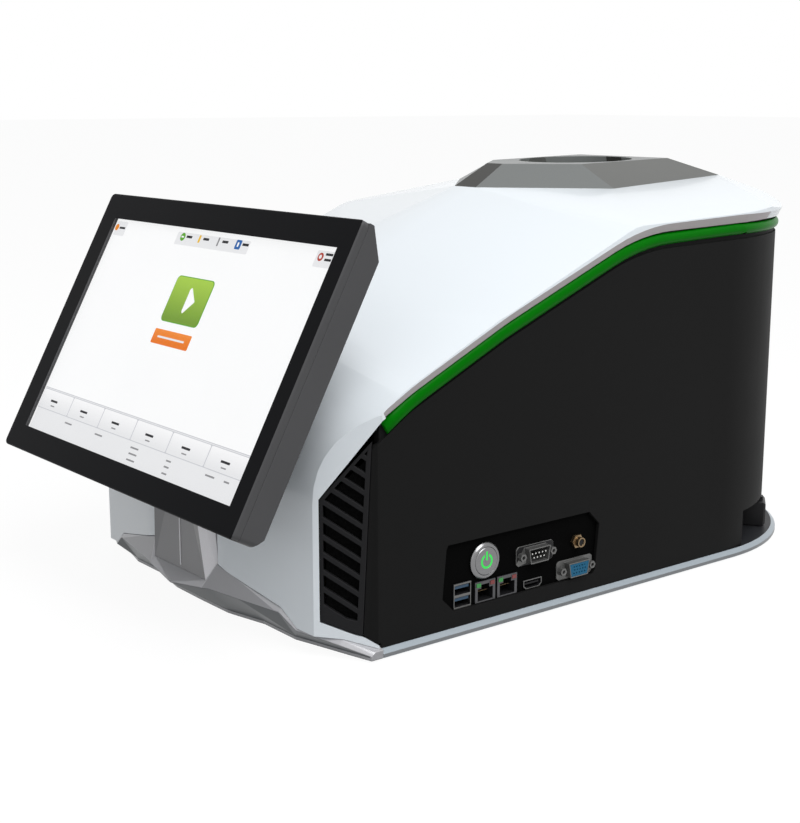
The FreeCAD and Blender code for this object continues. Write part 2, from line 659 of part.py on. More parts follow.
def sample_dish():
    """Round dark dish under the bezel, turned from one profile, with a flange and a hole for the collar."""
    floor = dish_floor()
    top = RING_SIDE[2] - 0.2
    r = DISH_R - 0.6
    flange = DISH_R + DISH_WALL - 0.2
    low = top - 3.0 - HOOD_WALL
    hole = COLLAR_R - 4.0
    profile = [(hole, floor - DISH_WALL), (r, floor - DISH_WALL), (r, low), (flange, low), (flange, low + 1.8),
               (r, low + 1.8), (r, top), (r - DISH_WALL, top), (r - DISH_WALL, floor), (hole, floor)]
    bowl = face([(x, 0.0, z) for x, z in profile]).revolve(V(0, 0, 0), V(0, 0, 1), 360)
    bowl.translate(V(0, BORE_Y, 0))
    return bowl


def sample_collar():
    """Collar in the dish that guides the sample tube, turned from one profile with a lead-in cone."""
    floor = dish_floor()
    seat = LINER_R + 0.05
    neck = COLLAR_R - 4.3
    top = floor + COLLAR_H
    profile = [(TUBE_R, floor - 2.0), (seat, floor - 2.0), (seat, floor - 14.0), (neck, floor - 14.0),
               (neck, floor + 0.05), (COLLAR_R, floor + 0.05), (COLLAR_R, top - 1.2), (COLLAR_R - 1.2, top),
               (TUBE_R + 3.9, top), (TUBE_R, top - 3.9)]
    collar = face([(x, 0.0, z) for x, z in profile]).revolve(V(0, 0, 0), V(0, 0, 1), 360)
    collar.translate(V(0, BORE_Y, 0))
    return collar


def magnet_levels():
    """Heights of the magnet stack: mount top, lower plate top, yoke top, upper plate top."""
    low = BASE_TOP + MOUNT_H
    return low, low + PLATE_T, low + PLATE_T + YOKE_H, low + 2 * PLATE_T + YOKE_H


def bore_liner():
    """Tube that carries the sample from the collar down into the probe."""
    _, _, yoke_top, _ = magnet_levels()
    floor = dish_floor()
    tube = rod_z(LINER_R, yoke_top - YOKE_H / 2, floor - 2.2, 0.0, BORE_Y)
    return tube.cut(rod_z(TUBE_R, 0.0, 300.0, 0.0, BORE_Y))


def magnet_yoke():
    """Steel yoke: a ring of flats round the magnet blocks."""
    _, z0, z1, _ = magnet_levels()
    bore = (YOKE_R - YOKE_WALL) / math.cos(math.pi / YOKE_SIDES)
    return prism_z(ngon(YOKE_R, 0.0, BORE_Y, YOKE_SIDES), z0, z1).cut(
        prism_z(ngon(bore, 0.0, BORE_Y, YOKE_SIDES), z0 - 1.0, z1 + 1.0))


def magnet_blocks():
    """Ring of wedge magnets inside the yoke."""
    _, z0, z1, _ = magnet_levels()
    outer = YOKE_R - YOKE_WALL - 0.3
    half = math.pi / MAGNETS - math.radians(0.6)
    blocks = []
    for k in range(MAGNETS):
        mid = 2 * math.pi * k / MAGNETS
        points = []
        for r, a in ((MAGNET_BORE, -half), (outer, -half), (outer, half), (MAGNET_BORE, half)):
            points.append((r * math.cos(mid + a), BORE_Y + r * math.sin(mid + a)))
        blocks.append(prism_z(points, z0, z1))
    return Part.makeCompound(blocks)


def magnet_plate(level):
    """End plate of the magnet, with a hole for the probe."""
    low, z0, z1, top = magnet_levels()
    a, b = (low, z0) if level == "lower" else (z1, top)
    plate = prism_z(ngon(YOKE_R - 1.0, 0.0, BORE_Y, YOKE_SIDES), a, b)
    hole = LINER_R + 0.5 if level == "upper" else STEM_R + 1.0
    return plate.cut(rod_z(hole, a - 1.0, b + 1.0, 0.0, BORE_Y))


def magnet_mounts():
    """Rubber mounts between the base tray and the magnet."""
    low = magnet_levels()[0]
    r = YOKE_R - MOUNT_R - 12.0
    posts = []
    for k in range(3):
        a = math.radians(90.0 + 120.0 * k)
        posts.append(prism_z(ngon(MOUNT_R, r * math.cos(a), BORE_Y + r * math.sin(a), 12), BASE_TOP, low))
    return Part.makeCompound(posts)


def probe_body():
    """Probe in the magnet's bore: former with a seat for the receiver coil."""
    low, z0, z1, _ = magnet_levels()
    former = prism_z(ngon(MAGNET_BORE - 2.0, 0.0, BORE_Y, MAGNETS), z0, z1)
    middle = (z0 + z1) / 2
    former = former.cut(prism_z(ngon(COIL_R + 4.0, 0.0, BORE_Y, MAGNETS),
                                middle - COIL_SEAT, middle + COIL_SEAT))
    former = former.cut(rod_z(LINER_R + 0.3, middle, z1 + 1.0, 0.0, BORE_Y))
    stem = prism_z(ngon(STEM_R, 0.0, BORE_Y, MAGNETS), BASE_TOP + 2.0, z0)
    return former.fuse(stem).removeSplitter()


def receiver_coil():
    """Receiver coil round the sample in the middle of the probe: turns on a twelve-sided former."""
    _, z0, z1, _ = magnet_levels()
    low = (z0 + z1) / 2 - COIL_SEAT
    turn = (COIL_SEAT - 2.0) / COIL_TURNS
    pieces = []
    for k in range(COIL_TURNS):
        z = low + 1.0 + turn * k
        pieces.append(prism_z(ngon(COIL_R + 0.9, 0.0, BORE_Y, MAGNETS), z, z + turn / 2))
    former = prism_z(ngon(COIL_R, 0.0, BORE_Y, MAGNETS), low, low + COIL_SEAT - 1.0)
    bore = prism_z(ngon(COIL_R - 2.2, 0.0, BORE_Y, MAGNETS), low - 1.0, low + COIL_SEAT)
    return former.multiFuse(pieces).cut(bore).removeSplitter()


def main_board():
    """Spectrometer board on standoffs at the front of the tray."""
    x0, x1, y0, z = main_board_place()
    return box(x0, x1, y0, y0 + MAIN_DEEP, z, z + BOARD_T)


def main_board_place():
    """Left and right edge, front edge and underside of the spectrometer board."""
    return -BASE_HALF + MAIN_LEFT, BASE_HALF - MAIN_RIGHT, MAIN_FRONT, BASE_TOP + STANDOFF_H


def board_parts():
    """Chips, shielding can and coil cans on the spectrometer board."""
    x, _, y, z = main_board_place()
    top = z + BOARD_T
    pieces = [box(x + 10.0, x + 70.0, y + 15.0, y + 75.0, top, top + 9.0),
              box(x + 85.0, x + 113.0, y + 30.0, y + 58.0, top, top + 3.0),
              box(x + 125.0, x + 139.0, y + 20.0, y + 40.0, top, top + 2.2)]
    pieces += [prism_z(ngon(4.5, x + 17.0 + 14.0 * k, y + 95.0, 8), top, top + 14.0) for k in range(5)]
    pieces += [box(x + 15.0 + 34.0 * k, x + 43.0 + 34.0 * k, y + 120.0, y + 128.0, top, top + 8.0)
               for k in range(4)]
    return Part.makeCompound(pieces)


def board_standoffs():
    """Hexagonal standoffs under the spectrometer board."""
    x0, x1, y, z = main_board_place()
    return Part.makeCompound([prism_z(ngon(3.2, x, at, 6), BASE_TOP, z)
                              for x in (x0 + 7.0, x1 - 7.0) for at in (y + 7.0, y + MAIN_DEEP - 7.0)])


def power_module():
    """Screened power module on the tray, with two rows of vent slots."""
    x = -BASE_HALF + CASE_LEFT
    case = box(x, x + CASE_W, CASE_FRONT, CASE_FRONT + CASE_DEEP, BASE_TOP, BASE_TOP + CASE_H)
    for k in range(9):
        y = CASE_FRONT + 12.0 + 14.0 * k
        for z in (BASE_TOP + 12.0, BASE_TOP + CASE_H - 18.0):
            case = case.cut(box(x - 1.0, x + 3.0, y, y + 8.0, z, z + 3.0))
    return case


PLATE_X = WRAP_HALF - WRAP_WALL - PLATE_GAP   # outer face of the connector plate
BOARD_X = PLATE_X - PORT_PLATE_T - 13.0       # outer face of the connector board


def port_plate():
    """Black connector plate behind the opening, with the holes for its sockets."""
    plate = prism_x(port_outline(5.0), PLATE_X - PORT_PLATE_T, PLATE_X)
    x0, x1 = PLATE_X - 5.0, PLATE_X + 5.0
    plate = plate.cut(rod_x(BUTTON_R - 1.9, x0, x1, *BUTTON_AT))
    plate = plate.cut(rod_x(THREAD_R + 0.1, x0, x1, *RADIO_AT))
    for (y, z), w, h in ((SERIAL_AT, 20.0, 11.4), (VIDEO_AT, 20.0, 11.4), (HDMI_AT, 15.4, 6.0)):
        plate = plate.cut(box(x0, x1, y - w / 2, y + w / 2, z - h / 2, z + h / 2))
    y, z = JACK_AT
    high = z + JACK_HALF + 0.4
    plate = plate.cut(box(x0, x1, y - 8.2, y + JACK_PITCH + 8.2, z - JACK_HALF - 0.4, high))
    return plate.cut(box(x0, x1, USB_AT[0] - 6.8, USB_AT[0] + 6.8, USB_AT[1] - 7.8, USB_AT[1] + 7.8))


def button_bezel():
    """Round steel bezel of the power button, with its body and nut behind the plate."""
    y, z = BUTTON_AT
    flange = rod_x(BUTTON_R, PLATE_X, PLATE_X + 2.6, y, z)
    rim = [e for e in flange.Edges if e.BoundBox.XMin > PLATE_X + 2.5]
    flange = flange.makeChamfer(1.3, rim)
    body = rod_x(BUTTON_R - 2.0, PLATE_X - 16.0, PLATE_X + 1.0, y, z)
    nut = prism_x(ngon(BUTTON_R + 0.6, y, z, 6), PLATE_X - PORT_PLATE_T - 3.6, PLATE_X - PORT_PLATE_T)
    whole = flange.multiFuse([body, nut]).removeSplitter()
    return whole.cut(rod_x(BUTTON_CAP_R + PIN_PLAY, PLATE_X - 8.0, PLATE_X + 5.0, y, z))


def symbol(x0, x1, play):
    """Ring and bar of the power symbol, between two x."""
    y, z = BUTTON_AT
    ring = rod_x(4.6 + play, x0, x1, y, z).cut(rod_x(3.2 - play, x0, x1, y, z))
    ring = ring.cut(box(x0, x1, y - 1.7 + play, y + 1.7 - play, z, z + 8.0))
    bar = box(x0, x1, y - 0.7 - play, y + 0.7 + play, z + 0.6 - play, z + 6.0 + play)
    return Part.makeCompound([ring, bar])


def button_cap():
    """Moving steel cap of the power button, with the channel of its lit symbol."""
    y, z = BUTTON_AT
    cap = rod_x(BUTTON_CAP_R, PLATE_X - 5.0, PLATE_X + 3.0, y, z)
    rim = [e for e in cap.Edges if e.BoundBox.XMin > PLATE_X + 2.9]
    cap = cap.makeChamfer(0.5, rim)
    return cap.cut(symbol(PLATE_X + 2.0, PLATE_X + 4.0, 0.0))


def button_light():
    """Green light guide in the cap: the power symbol."""
    return symbol(PLATE_X + 2.0, PLATE_X + 2.95, -0.02)


def socket_outline(at, w, h, lean):
    """D-shaped outline of a socket, wide side up."""
    y, z = at
    return [(y - w / 2, z + h / 2), (y + w / 2, z + h / 2),
            (y + w / 2 - lean, z - h / 2), (y - w / 2 + lean, z - h / 2)]


def socket_shell(at, proud, depth):
    """Metal shell of a D-shaped socket: flange, collar and hollow."""
    y, z = at
    flange = box(PLATE_X, PLATE_X + 0.9, y - 15.4, y + 15.4, z - 6.2, z + 6.2)
    flange = flange.makeChamfer(1.6, [e for e in flange.Edges if abs(e.BoundBox.XLength - 0.9) < 0.01])
    collar = prism_x(socket_outline(at, 18.0, 9.6, 1.6), PLATE_X - 11.0, PLATE_X + proud)
    shell = flange.fuse(collar).removeSplitter()
    return shell.cut(prism_x(socket_outline(at, 16.6, 8.2, 1.45),
                             PLATE_X + proud - depth, PLATE_X + proud + 1.0))


def contacts(at, rows, proud, reach):
    """Contacts of a socket in rows."""
    y, z = at
    pins = []
    gap = 2.77
    for row, count in enumerate(rows):
        level = z + (len(rows) - 1) / 2 * 2.6 - row * 2.6
        for k in range(count):
            ring = ngon(0.55, y + (k - (count - 1) / 2) * gap, level, 6)
            pins.append(prism_x(ring, PLATE_X + proud - 6.0, PLATE_X + reach))
    return pins


def video_insert():
    """Blue insulator of the 15-way socket, with its contact holes."""
    block = prism_x(socket_outline(VIDEO_AT, 16.4, 8.0, 1.45), PLATE_X - 0.95, PLATE_X + 5.4)
    for row in range(3):
        for k in range(5):
            y = VIDEO_AT[0] + (k - 2) * 2.3 + (0.6 if row == 1 else 0.0)
            ring = ngon(0.6, y, VIDEO_AT[1] + (1 - row) * 2.1, 6)
            block = block.cut(prism_x(ring, PLATE_X + 3.4, PLATE_X + 9.0))
    return block


def jackscrews():
    """Hexagonal jackscrews beside the two D-shaped sockets, each with its threaded hole."""
    screws = []
    for y, z in (SERIAL_AT, VIDEO_AT):
        for s in (-1, 1):
            at = y + SHANK_REACH * s
            head = prism_x(ngon(2.6, at, z, 6), PLATE_X + 0.9, PLATE_X + 4.6)
            screws.append(head.cut(rod_x(1.2, PLATE_X + 2.0, PLATE_X + 9.0, at, z)))
    return Part.makeCompound(screws)


def radio_jack():
    """Gilt coaxial jack with its nut, thread body and the shallow hollow at its end."""
    y, z = RADIO_AT
    jack = rod_x(THREAD_R, PLATE_X - 6.0, PLATE_X + 5.7, y, z)
    jack = jack.fuse(prism_x(ngon(4.6, y, z, 6), PLATE_X, PLATE_X + 2.4)).removeSplitter()
    return jack.cut(rod_x(2.3, PLATE_X + 4.9, PLATE_X + 8.0, y, z))


def network_jacks():
    """Two network sockets with their latch notch."""
    jacks = []
    for k in (0, 1):
        y = JACK_AT[0] + JACK_PITCH * k
        z = JACK_AT[1]
        body = box(BOARD_X, PLATE_X + 1.2, y - 8.0, y + 8.0, z - JACK_HALF, z + JACK_HALF)
        body = body.cut(box(PLATE_X - 10.5, PLATE_X + 2.0, y - 6.0, y + 6.0, z - 5.6, z + 2.0))
        body = body.cut(box(PLATE_X - 10.5, PLATE_X + 2.0, y - 3.2, y + 3.2, z + 1.0, z + 4.4))
        jacks.append(body)
    return Part.makeCompound(jacks)


def jack_lights():
    """Small lamps above the network sockets."""
    lamps = []
    for k in (0, 1):
        for s in (-1, 1):
            y = JACK_AT[0] + JACK_PITCH * k + 5.4 * s
            lamps.append(box(PLATE_X + 1.2, PLATE_X + 1.6, y - 1.7, y + 1.7,
                             JACK_AT[1] + 3.2, JACK_AT[1] + 5.6))
    return Part.makeCompound(lamps)


def usb_stack():
    """Stacked USB sockets in one metal shell."""
    y, z = USB_AT
    body = box(BOARD_X, PLATE_X + 1.0, y - 6.7, y + 6.7, z - 7.7, z + 7.7)
    for s in (-1, 1):
        body = body.cut(box(PLATE_X - 9.0, PLATE_X + 2.0, y - 6.1, y + 6.1,
                            z + 3.7 * s - 2.9, z + 3.7 * s + 2.9))
    return body


def usb_tongues():
    """Blue tongues inside the USB sockets."""
    y, z = USB_AT
    return Part.makeCompound([
        box(PLATE_X - 9.0, PLATE_X + 0.2, y - 5.4, y + 5.4, z + 3.7 * s + 0.6, z + 3.7 * s + 2.5)
        for s in (-1, 1)])


def hdmi_socket():
    """Small multimedia socket with chamfered lower corners."""
    y, z = HDMI_AT

    def outline(w, h):
        """Outline with its two lower corners cut."""
        return [(y - w / 2, z + h / 2), (y + w / 2, z + h / 2),
                (y + w / 2, z - h / 6), (y + w / 2 - 2.0, z - h / 2),
                (y - w / 2 + 2.0, z - h / 2), (y - w / 2, z - h / 6)]

    body = prism_x(outline(15.2, 5.8), BOARD_X, PLATE_X + 0.8)
    body = body.cut(prism_x(outline(14.0, 4.6), PLATE_X - 8.0, PLATE_X + 2.0))
    tongue = box(PLATE_X - 8.1, PLATE_X, y - 5.6, y + 5.6, z - 0.2, z + 0.9)
    return body.fuse(tongue).removeSplitter()


def port_board():
    """Upright board behind the connector plate."""
    board = box(BOARD_X - BOARD_T, BOARD_X, PORT_FRONT + 2.0, PORT_REAR, BASE_TOP, PORT_HIGH - 2.0)
    return board.cut(rod_x(BUTTON_R, BOARD_X - 5.0, BOARD_X + 5.0, *BUTTON_AT))


def inlet_bracket():
    """Black recess that closes the notch at the right rear corner and carries the power inlet."""
    wall = wrap_plan(14.0, CHIN_SPLIT, BASE_TOP, NOTCH_HIGH + 6.0).cut(
        wrap_plan(17.0, CHIN_SPLIT - 5.0, BASE_TOP - 1.0, NOTCH_HIGH + 7.0))
    wall = wall.common(box(NOTCH_END_X - 6.0, 200.0, NOTCH_LOW_Y - 6.0, BASE_REAR + 20.0, 0.0, 60.0))
    gap = WRAP_WALL + SEAM
    roof = wrap_plan(gap, CHIN_SPLIT, NOTCH_HIGH + 3.0, NOTCH_HIGH + 6.0).cut(
        wrap_plan(17.0, CHIN_SPLIT - 5.0, NOTCH_HIGH - 5.0, NOTCH_HIGH + 7.0))
    roof = roof.common(box(NOTCH_END_X - 6.0, 200.0, NOTCH_LOW_Y - 6.0, BASE_REAR + 20.0, 0.0, 60.0))
    return wall.fuse(roof).removeSplitter()


def power_inlet():
    """Power inlet block in the notch: shroud, latch and socket."""
    block = box(-11.0, 11.0, -6.0, 11.0, 0.0, 17.0)
    block = block.makeChamfer(1.5, [e for e in block.Edges if e.BoundBox.YMin > 10.9])
    block = block.cut(rod_y(6.2, 2.0, 12.0, 0.0, 8.2))
    block = block.fuse(rod_y(1.2, 1.0, 9.0, 0.0, 8.2)).removeSplitter()
    latch = box(-3.0, 3.0, 0.0, 9.0, 16.5, 19.5)
    block = block.fuse(latch).removeSplitter()
    angle = 40.0
    r = WRAP_CORNER_R - 8.0
    a = math.radians(angle)
    block.rotate(V(0, 0, 0), V(0, 0, 1), angle - 90.0)
    cx = WRAP_HALF - WRAP_CORNER_R
    cy = WRAP_REAR - WRAP_CORNER_R
    block.translate(V(cx + r * math.cos(a), cy + r * math.sin(a), BASE_TOP + 1.0))
    return block.cut(inlet_bracket())


def fan_back():
    """Plane of the fan's rear face, where its side edges just clear the rounded rear wall."""
    inner_r = WRAP_CORNER_R - WRAP_WALL
    past = max(0.0, FAN_SIZE / 2 - (WRAP_HALF - WRAP_CORNER_R))
    return WRAP_REAR - WRAP_WALL - FAN_CLEAR - (inner_r - math.sqrt(inner_r ** 2 - past ** 2))


def fan_frame():
    """Square fan frame on the rear wall, with its stator on spokes."""
    back = fan_back()
    half = FAN_SIZE / 2
    frame = box(-half, half, back - FAN_T, back, FAN_Z - half, FAN_Z + half)
    uprights = [e for e in frame.Edges if abs(e.BoundBox.YLength - FAN_T) < 0.01]
    frame = frame.makeChamfer(3.0, uprights)
    frame = frame.cut(rod_y(FAN_R + 1.0, back - FAN_T - 1.0, back + 1.0, 0.0, FAN_Z))
    stator = rod_y(FAN_HUB_R, back - 4.0, back, 0.0, FAN_Z)
    stator = stator.fuse(rod_y(FAN_SHAFT_R, back - FAN_T + 4.0, back - 3.0, 0.0, FAN_Z))
    for k in range(4):
        spoke = box(-1.5, 1.5, back - 3.0, back, FAN_Z + FAN_HUB_R - 1.0, FAN_Z + FAN_R + 2.0)
        spoke.rotate(V(0, back, FAN_Z), V(0, 1, 0), 45.0 + 90.0 * k)
        stator = stator.fuse(spoke)
    return frame.fuse(stator).removeSplitter()


def fan_rotor():
    """Seven-bladed rotor: flat pitched blades on a round hub."""
    back = fan_back()
    y1 = back - 4.6
    y0 = back - FAN_T + 2.0
    middle = (y0 + y1) / 2
    pitch = (y1 - y0 - 4.0) / 22.0
    blades = []
    for k in range(FAN_BLADES):
        corners = [(-7.0, FAN_HUB_R - 4.0), (7.0, FAN_HUB_R - 4.0), (11.0, FAN_R - 2.6), (-8.0, FAN_R - 1.2)]
        blade = face([(x, middle - 0.7 + x * pitch, FAN_Z + r) for x, r in corners]).extrude(V(0, 1.4, 0))
        blade.rotate(V(0, 0, FAN_Z), V(0, 1, 0), 360.0 / FAN_BLADES * k)
        blades.append(blade)
    rotor = rod_y(FAN_HUB_R, y0, y1, 0.0, FAN_Z).multiFuse(blades).removeSplitter()
    return rotor.cut(rod_y(FAN_SHAFT_R + FAN_PLAY, y0 - 1.0, y1 + 1.0, 0.0, FAN_Z))


def hinge_axis():
    """y and z of the screen's hinge axis."""
    y = SCREEN_AT[0] + HINGE_DEPTH * math.cos(TILT) - HINGE_DROP * math.sin(TILT)
    z = SCREEN_AT[1] - HINGE_DEPTH * math.sin(TILT) - HINGE_DROP * math.cos(TILT)
    return y, z


def tilted(shape):
    """Lean an upright screen piece, built about the middle of its front face, into its place."""
    placed = shape.copy()
    placed.rotate(V(0, 0, 0), V(1, 0, 0), -SCREEN_TILT)
    placed.translate(V(0, SCREEN_AT[0], SCREEN_AT[1]))
    return placed


def column_section(half, z, front_y, valley_y, wing):
    """Level section through the column."""
    return [(half, front_y, z), (half + wing, FRONT_Y + 1.4, z), (half + wing - 2.0, COLUMN_BACK_Y, z),
            (-half - wing + 2.0, COLUMN_BACK_Y, z), (-half - wing, FRONT_Y + 1.4, z), (-half, front_y, z),
            (0.0, valley_y, z)]


def screen_column(chin):
    """Silver column with a valley down its front, seated on the chin, with two hinge cheeks on top."""
    foot = column_section(COLUMN_FOOT_HALF, COLUMN_FOOT_Z - 1.0, -35.6, COLUMN_VALLEY_Y, 7.0)
    head = column_section(COLUMN_TOP_HALF, COLUMN_TOP, -39.5, COLUMN_VALLEY_Y, 7.0)
    column = faceted([foot, head])
    y, z = hinge_axis()
    for s in (-1, 1):
        x0 = s * (KNUCKLE_HALF + CHEEK_GAP)
        x1 = s * (KNUCKLE_HALF + CHEEK_GAP + CHEEK_W)
        a, b = min(x0, x1), max(x0, x1)
        cheek = prism_x([(y - KNUCKLE_R, z), (y + KNUCKLE_R, z), (y + 16.0, COLUMN_TOP - 2.0),
                         (y - KNUCKLE_R + 1.0, COLUMN_TOP - 2.0)], a, b)
        column = column.fuse(cheek.fuse(rod_x(KNUCKLE_R, a, b, y, z)))
    column = column.removeSplitter().cut(rod_x(PIN_R, -60.0, 60.0, y, z))
    return column.cut(chin)


def screen_bracket():
    """Hinge bracket on the screen's back: a ribbed plate with the middle knuckle."""
    plate = box(-42.0, 42.0, SCREEN_T, SCREEN_T + 3.0, -HINGE_DROP - 22.0, -HINGE_DROP + 26.0)
    plate = plate.makeChamfer(5.0, [e for e in plate.Edges if abs(e.BoundBox.YLength - 3.0) < 0.01])
    w = KNUCKLE_HALF
    knuckle = rod_x(KNUCKLE_R, -w, w, HINGE_DEPTH, -HINGE_DROP)
    web = prism_x([(SCREEN_T + 2.0, -HINGE_DROP - 10.0), (SCREEN_T + 2.0, -HINGE_DROP + 10.0),
                   (HINGE_DEPTH, -HINGE_DROP + KNUCKLE_R), (HINGE_DEPTH, -HINGE_DROP - KNUCKLE_R)], -w, w)
    bracket = plate.multiFuse([knuckle, web]).removeSplitter()
    return tilted(bracket.cut(rod_x(PIN_R + PIN_PLAY, -60.0, 60.0, HINGE_DEPTH, -HINGE_DROP)))


def hinge_pin():
    """Hinge pin through the cheeks and the knuckle."""
    y, z = hinge_axis()
    reach = KNUCKLE_HALF + CHEEK_GAP + CHEEK_W + 2.0
    pin = rod_x(PIN_R, -reach, reach, y, z)
    return pin


def screen_window(grow):
    """Left, right, low and high edge of the picture window, grown by a lap."""
    return (-SCREEN_W / 2 + EDGE_LEFT - grow, SCREEN_W / 2 - EDGE_RIGHT + grow,
            -SCREEN_H / 2 + EDGE_BOTTOM - grow, SCREEN_H / 2 - EDGE_TOP + grow)


def screen_frame():
    """Black front frame with its window and the rabbet for the glass."""
    w, h = SCREEN_W / 2, SCREEN_H / 2
    frame = box(-w, w, 0.0, FRAME_T, -h, h)
    frame = frame.makeFillet(3.5, [e for e in frame.Edges if abs(e.BoundBox.YLength - FRAME_T) < 0.01])
    frame = frame.makeChamfer(0.8, [e for e in frame.Edges if e.BoundBox.YMax < 0.01])
    x0, x1, z0, z1 = screen_window(0.0)
    frame = frame.cut(box(x0, x1, -1.0, FRAME_T + 1.0, z0, z1))
    x0, x1, z0, z1 = screen_window(GLASS_LAP)
    return tilted(frame.cut(box(x0, x1, GLASS_SET, FRAME_T + 1.0, z0, z1)))


def screen_glass():
    """Glass behind the frame's lip."""
    x0, x1, z0, z1 = screen_window(GLASS_LAP - 0.1)
    return tilted(box(x0, x1, GLASS_SET, GLASS_SET + GLASS_T, z0, z1))


def display_panel():
    """Picture panel behind the glass."""
    x0, x1, z0, z1 = screen_window(GLASS_LAP - 0.1)
    return tilted(box(x0, x1, GLASS_SET + GLASS_T, FRAME_T, z0, z1))


def screen_cover():
    """Rear cover of the screen: a shell with a sloping top and bevelled edges."""
    w, h = SCREEN_W / 2, SCREEN_H / 2

    def form(inset, front):
        """Cover form, inset by a wall."""
        profile = [(front, -h + inset), (SCREEN_T - 5.0, -h + inset), (SCREEN_T - inset, -h + 6.0),
                   (SCREEN_T - inset, h - COVER_SLOPE), (FRAME_T + 3.0, h - inset), (front, h - inset)]
        return prism_x(profile, -w + inset, w - inset)

    cover = form(0.0, FRAME_T)
    corners = [e for e in cover.Edges if abs(e.BoundBox.YLength - SCREEN_T + FRAME_T + 5.0) < 5.2
               and e.BoundBox.XLength < 0.01 and e.BoundBox.ZLength < 0.01]
    cover = cover.makeFillet(3.5, corners)
    cover = cover.cut(form(COVER_WALL, FRAME_T - 1.0))
    for k in range(12):
        x = -66.0 + 12.0 * k
        cover = cover.cut(box(x - 3.5, x + 3.5, SCREEN_T - 5.0, SCREEN_T + 1.0, h - 44.0, h - 41.5))
    return tilted(cover)


def screen_board():
    """Touch controller board inside the screen."""
    return tilted(box(-60.0, 60.0, FRAME_T + 1.0, FRAME_T + 2.6, -50.0, 30.0))


def screw_places():
    """Centres of the tray's screws."""
    x = BASE_HALF - SCREW_INSET
    return [(sx * x, y) for sx in (-1, 1) for y in (CHIN_SPLIT + 14.0, BORE_Y / 2)]


def tray_screws():
    """Slotted screw heads let into the tray, seen from below."""
    screws = []
    for x, y in screw_places():
        head = prism_z(ngon(SCREW_HEAD_R, x, y, 12), FOOT_GAP, FOOT_GAP + SCREW_HEAD)
        screws.append(head.cut(box(x - 2.2, x + 2.2, y - 0.4, y + 0.4, 0.0, FOOT_GAP + SCREW_HEAD / 2)))
    return Part.makeCompound(screws)


def main():
    """Build and write every piece."""
    os.makedirs("parts", exist_ok=True)
    chin = front_chin()
    grille = vent_grille()
    pad = vent_filter()
    save("base_tray", base_tray())
    save("tray_screws", tray_screws())
    save("feet", feet())
    save("front_chin", chin)
    save("screen_column", screen_column(chin))
    save("hinge_pin", hinge_pin())
    save("hood_shell", hood_shell())
    save("wrap_cover", wrap_cover())
    save("accent_strip", accent_strip())
    save("vent_grille_right", grille)
    save("vent_grille_left", mirrored(grille))
    save("vent_filter_right", pad)
    save("vent_filter_left", mirrored(pad))
    save("top_bezel", top_bezel())
    save("sample_dish", sample_dish())
    save("sample_collar", sample_collar())
    save("bore_liner", bore_liner())
    save("magnet_yoke", magnet_yoke())
    save("magnet_blocks", magnet_blocks())
    save("magnet_plate_lower", magnet_plate("lower"))
    save("magnet_plate_upper", magnet_plate("upper"))
    save("magnet_mounts", magnet_mounts())
    save("probe_body", probe_body())
    save("receiver_coil", receiver_coil())
    save("main_board", main_board())
    save("board_parts", board_parts())
    save("board_standoffs", board_standoffs())
    save("power_module", power_module())
    save("port_plate", port_plate())
    save("port_board", port_board())
    save("button_bezel", button_bezel())
    save("button_cap", button_cap())
    save("button_light", button_light())
    save("serial_socket", socket_shell(SERIAL_AT, 5.6, 6.0))
    save("serial_pins", Part.makeCompound(contacts(SERIAL_AT, (5, 4), 5.6, 4.6)))
    save("video_socket", socket_shell(VIDEO_AT, 5.6, 6.6))
    save("video_insert", video_insert())
    save("jackscrews", jackscrews())
    save("radio_jack", radio_jack())
    save("network_jacks", network_jacks())
    save("jack_lights", jack_lights())
    save("usb_stack", usb_stack())
    save("usb_tongues", usb_tongues())
    save("hdmi_socket", hdmi_socket())
    save("inlet_bracket", inlet_bracket())
    save("power_inlet", power_inlet())
    save("fan_frame", fan_frame())
    save("fan_rotor", fan_rotor())
    save("screen_frame", screen_frame())
    save("screen_glass", screen_glass())
    save("display_panel", display_panel())
    save("screen_cover", screen_cover())
    save("screen_board", screen_board())
    save("screen_bracket", screen_bracket())


main()
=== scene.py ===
"""Looks of a benchtop NMR spectrometer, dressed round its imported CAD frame.

Lengths are metres in the row frame: x to the user's right, y to the rear, z up.
"""

import json
import logging
import math
from dataclasses import dataclass, field
from enum import Enum
from typing import Callable, Optional, Union

import bpy
from mathutils import Matrix, Vector

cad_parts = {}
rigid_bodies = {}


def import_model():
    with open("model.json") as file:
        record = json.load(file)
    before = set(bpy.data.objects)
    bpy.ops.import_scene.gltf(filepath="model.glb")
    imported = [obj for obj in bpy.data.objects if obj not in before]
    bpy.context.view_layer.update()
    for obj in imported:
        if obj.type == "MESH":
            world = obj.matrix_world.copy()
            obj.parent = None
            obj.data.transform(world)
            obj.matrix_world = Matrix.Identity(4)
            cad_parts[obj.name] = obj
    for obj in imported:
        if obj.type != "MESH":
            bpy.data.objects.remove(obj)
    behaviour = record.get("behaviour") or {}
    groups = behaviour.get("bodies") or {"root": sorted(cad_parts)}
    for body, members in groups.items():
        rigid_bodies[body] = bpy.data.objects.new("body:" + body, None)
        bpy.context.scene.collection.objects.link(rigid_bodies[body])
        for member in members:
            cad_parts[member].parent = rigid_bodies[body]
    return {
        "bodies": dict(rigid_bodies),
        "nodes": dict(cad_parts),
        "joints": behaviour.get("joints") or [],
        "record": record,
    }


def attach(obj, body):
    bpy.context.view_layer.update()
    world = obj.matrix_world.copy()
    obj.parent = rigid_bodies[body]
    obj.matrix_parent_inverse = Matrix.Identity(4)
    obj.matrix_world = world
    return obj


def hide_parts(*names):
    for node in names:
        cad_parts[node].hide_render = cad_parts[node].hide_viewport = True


LOG = logging.getLogger("spectrometer")
MM = 0.001
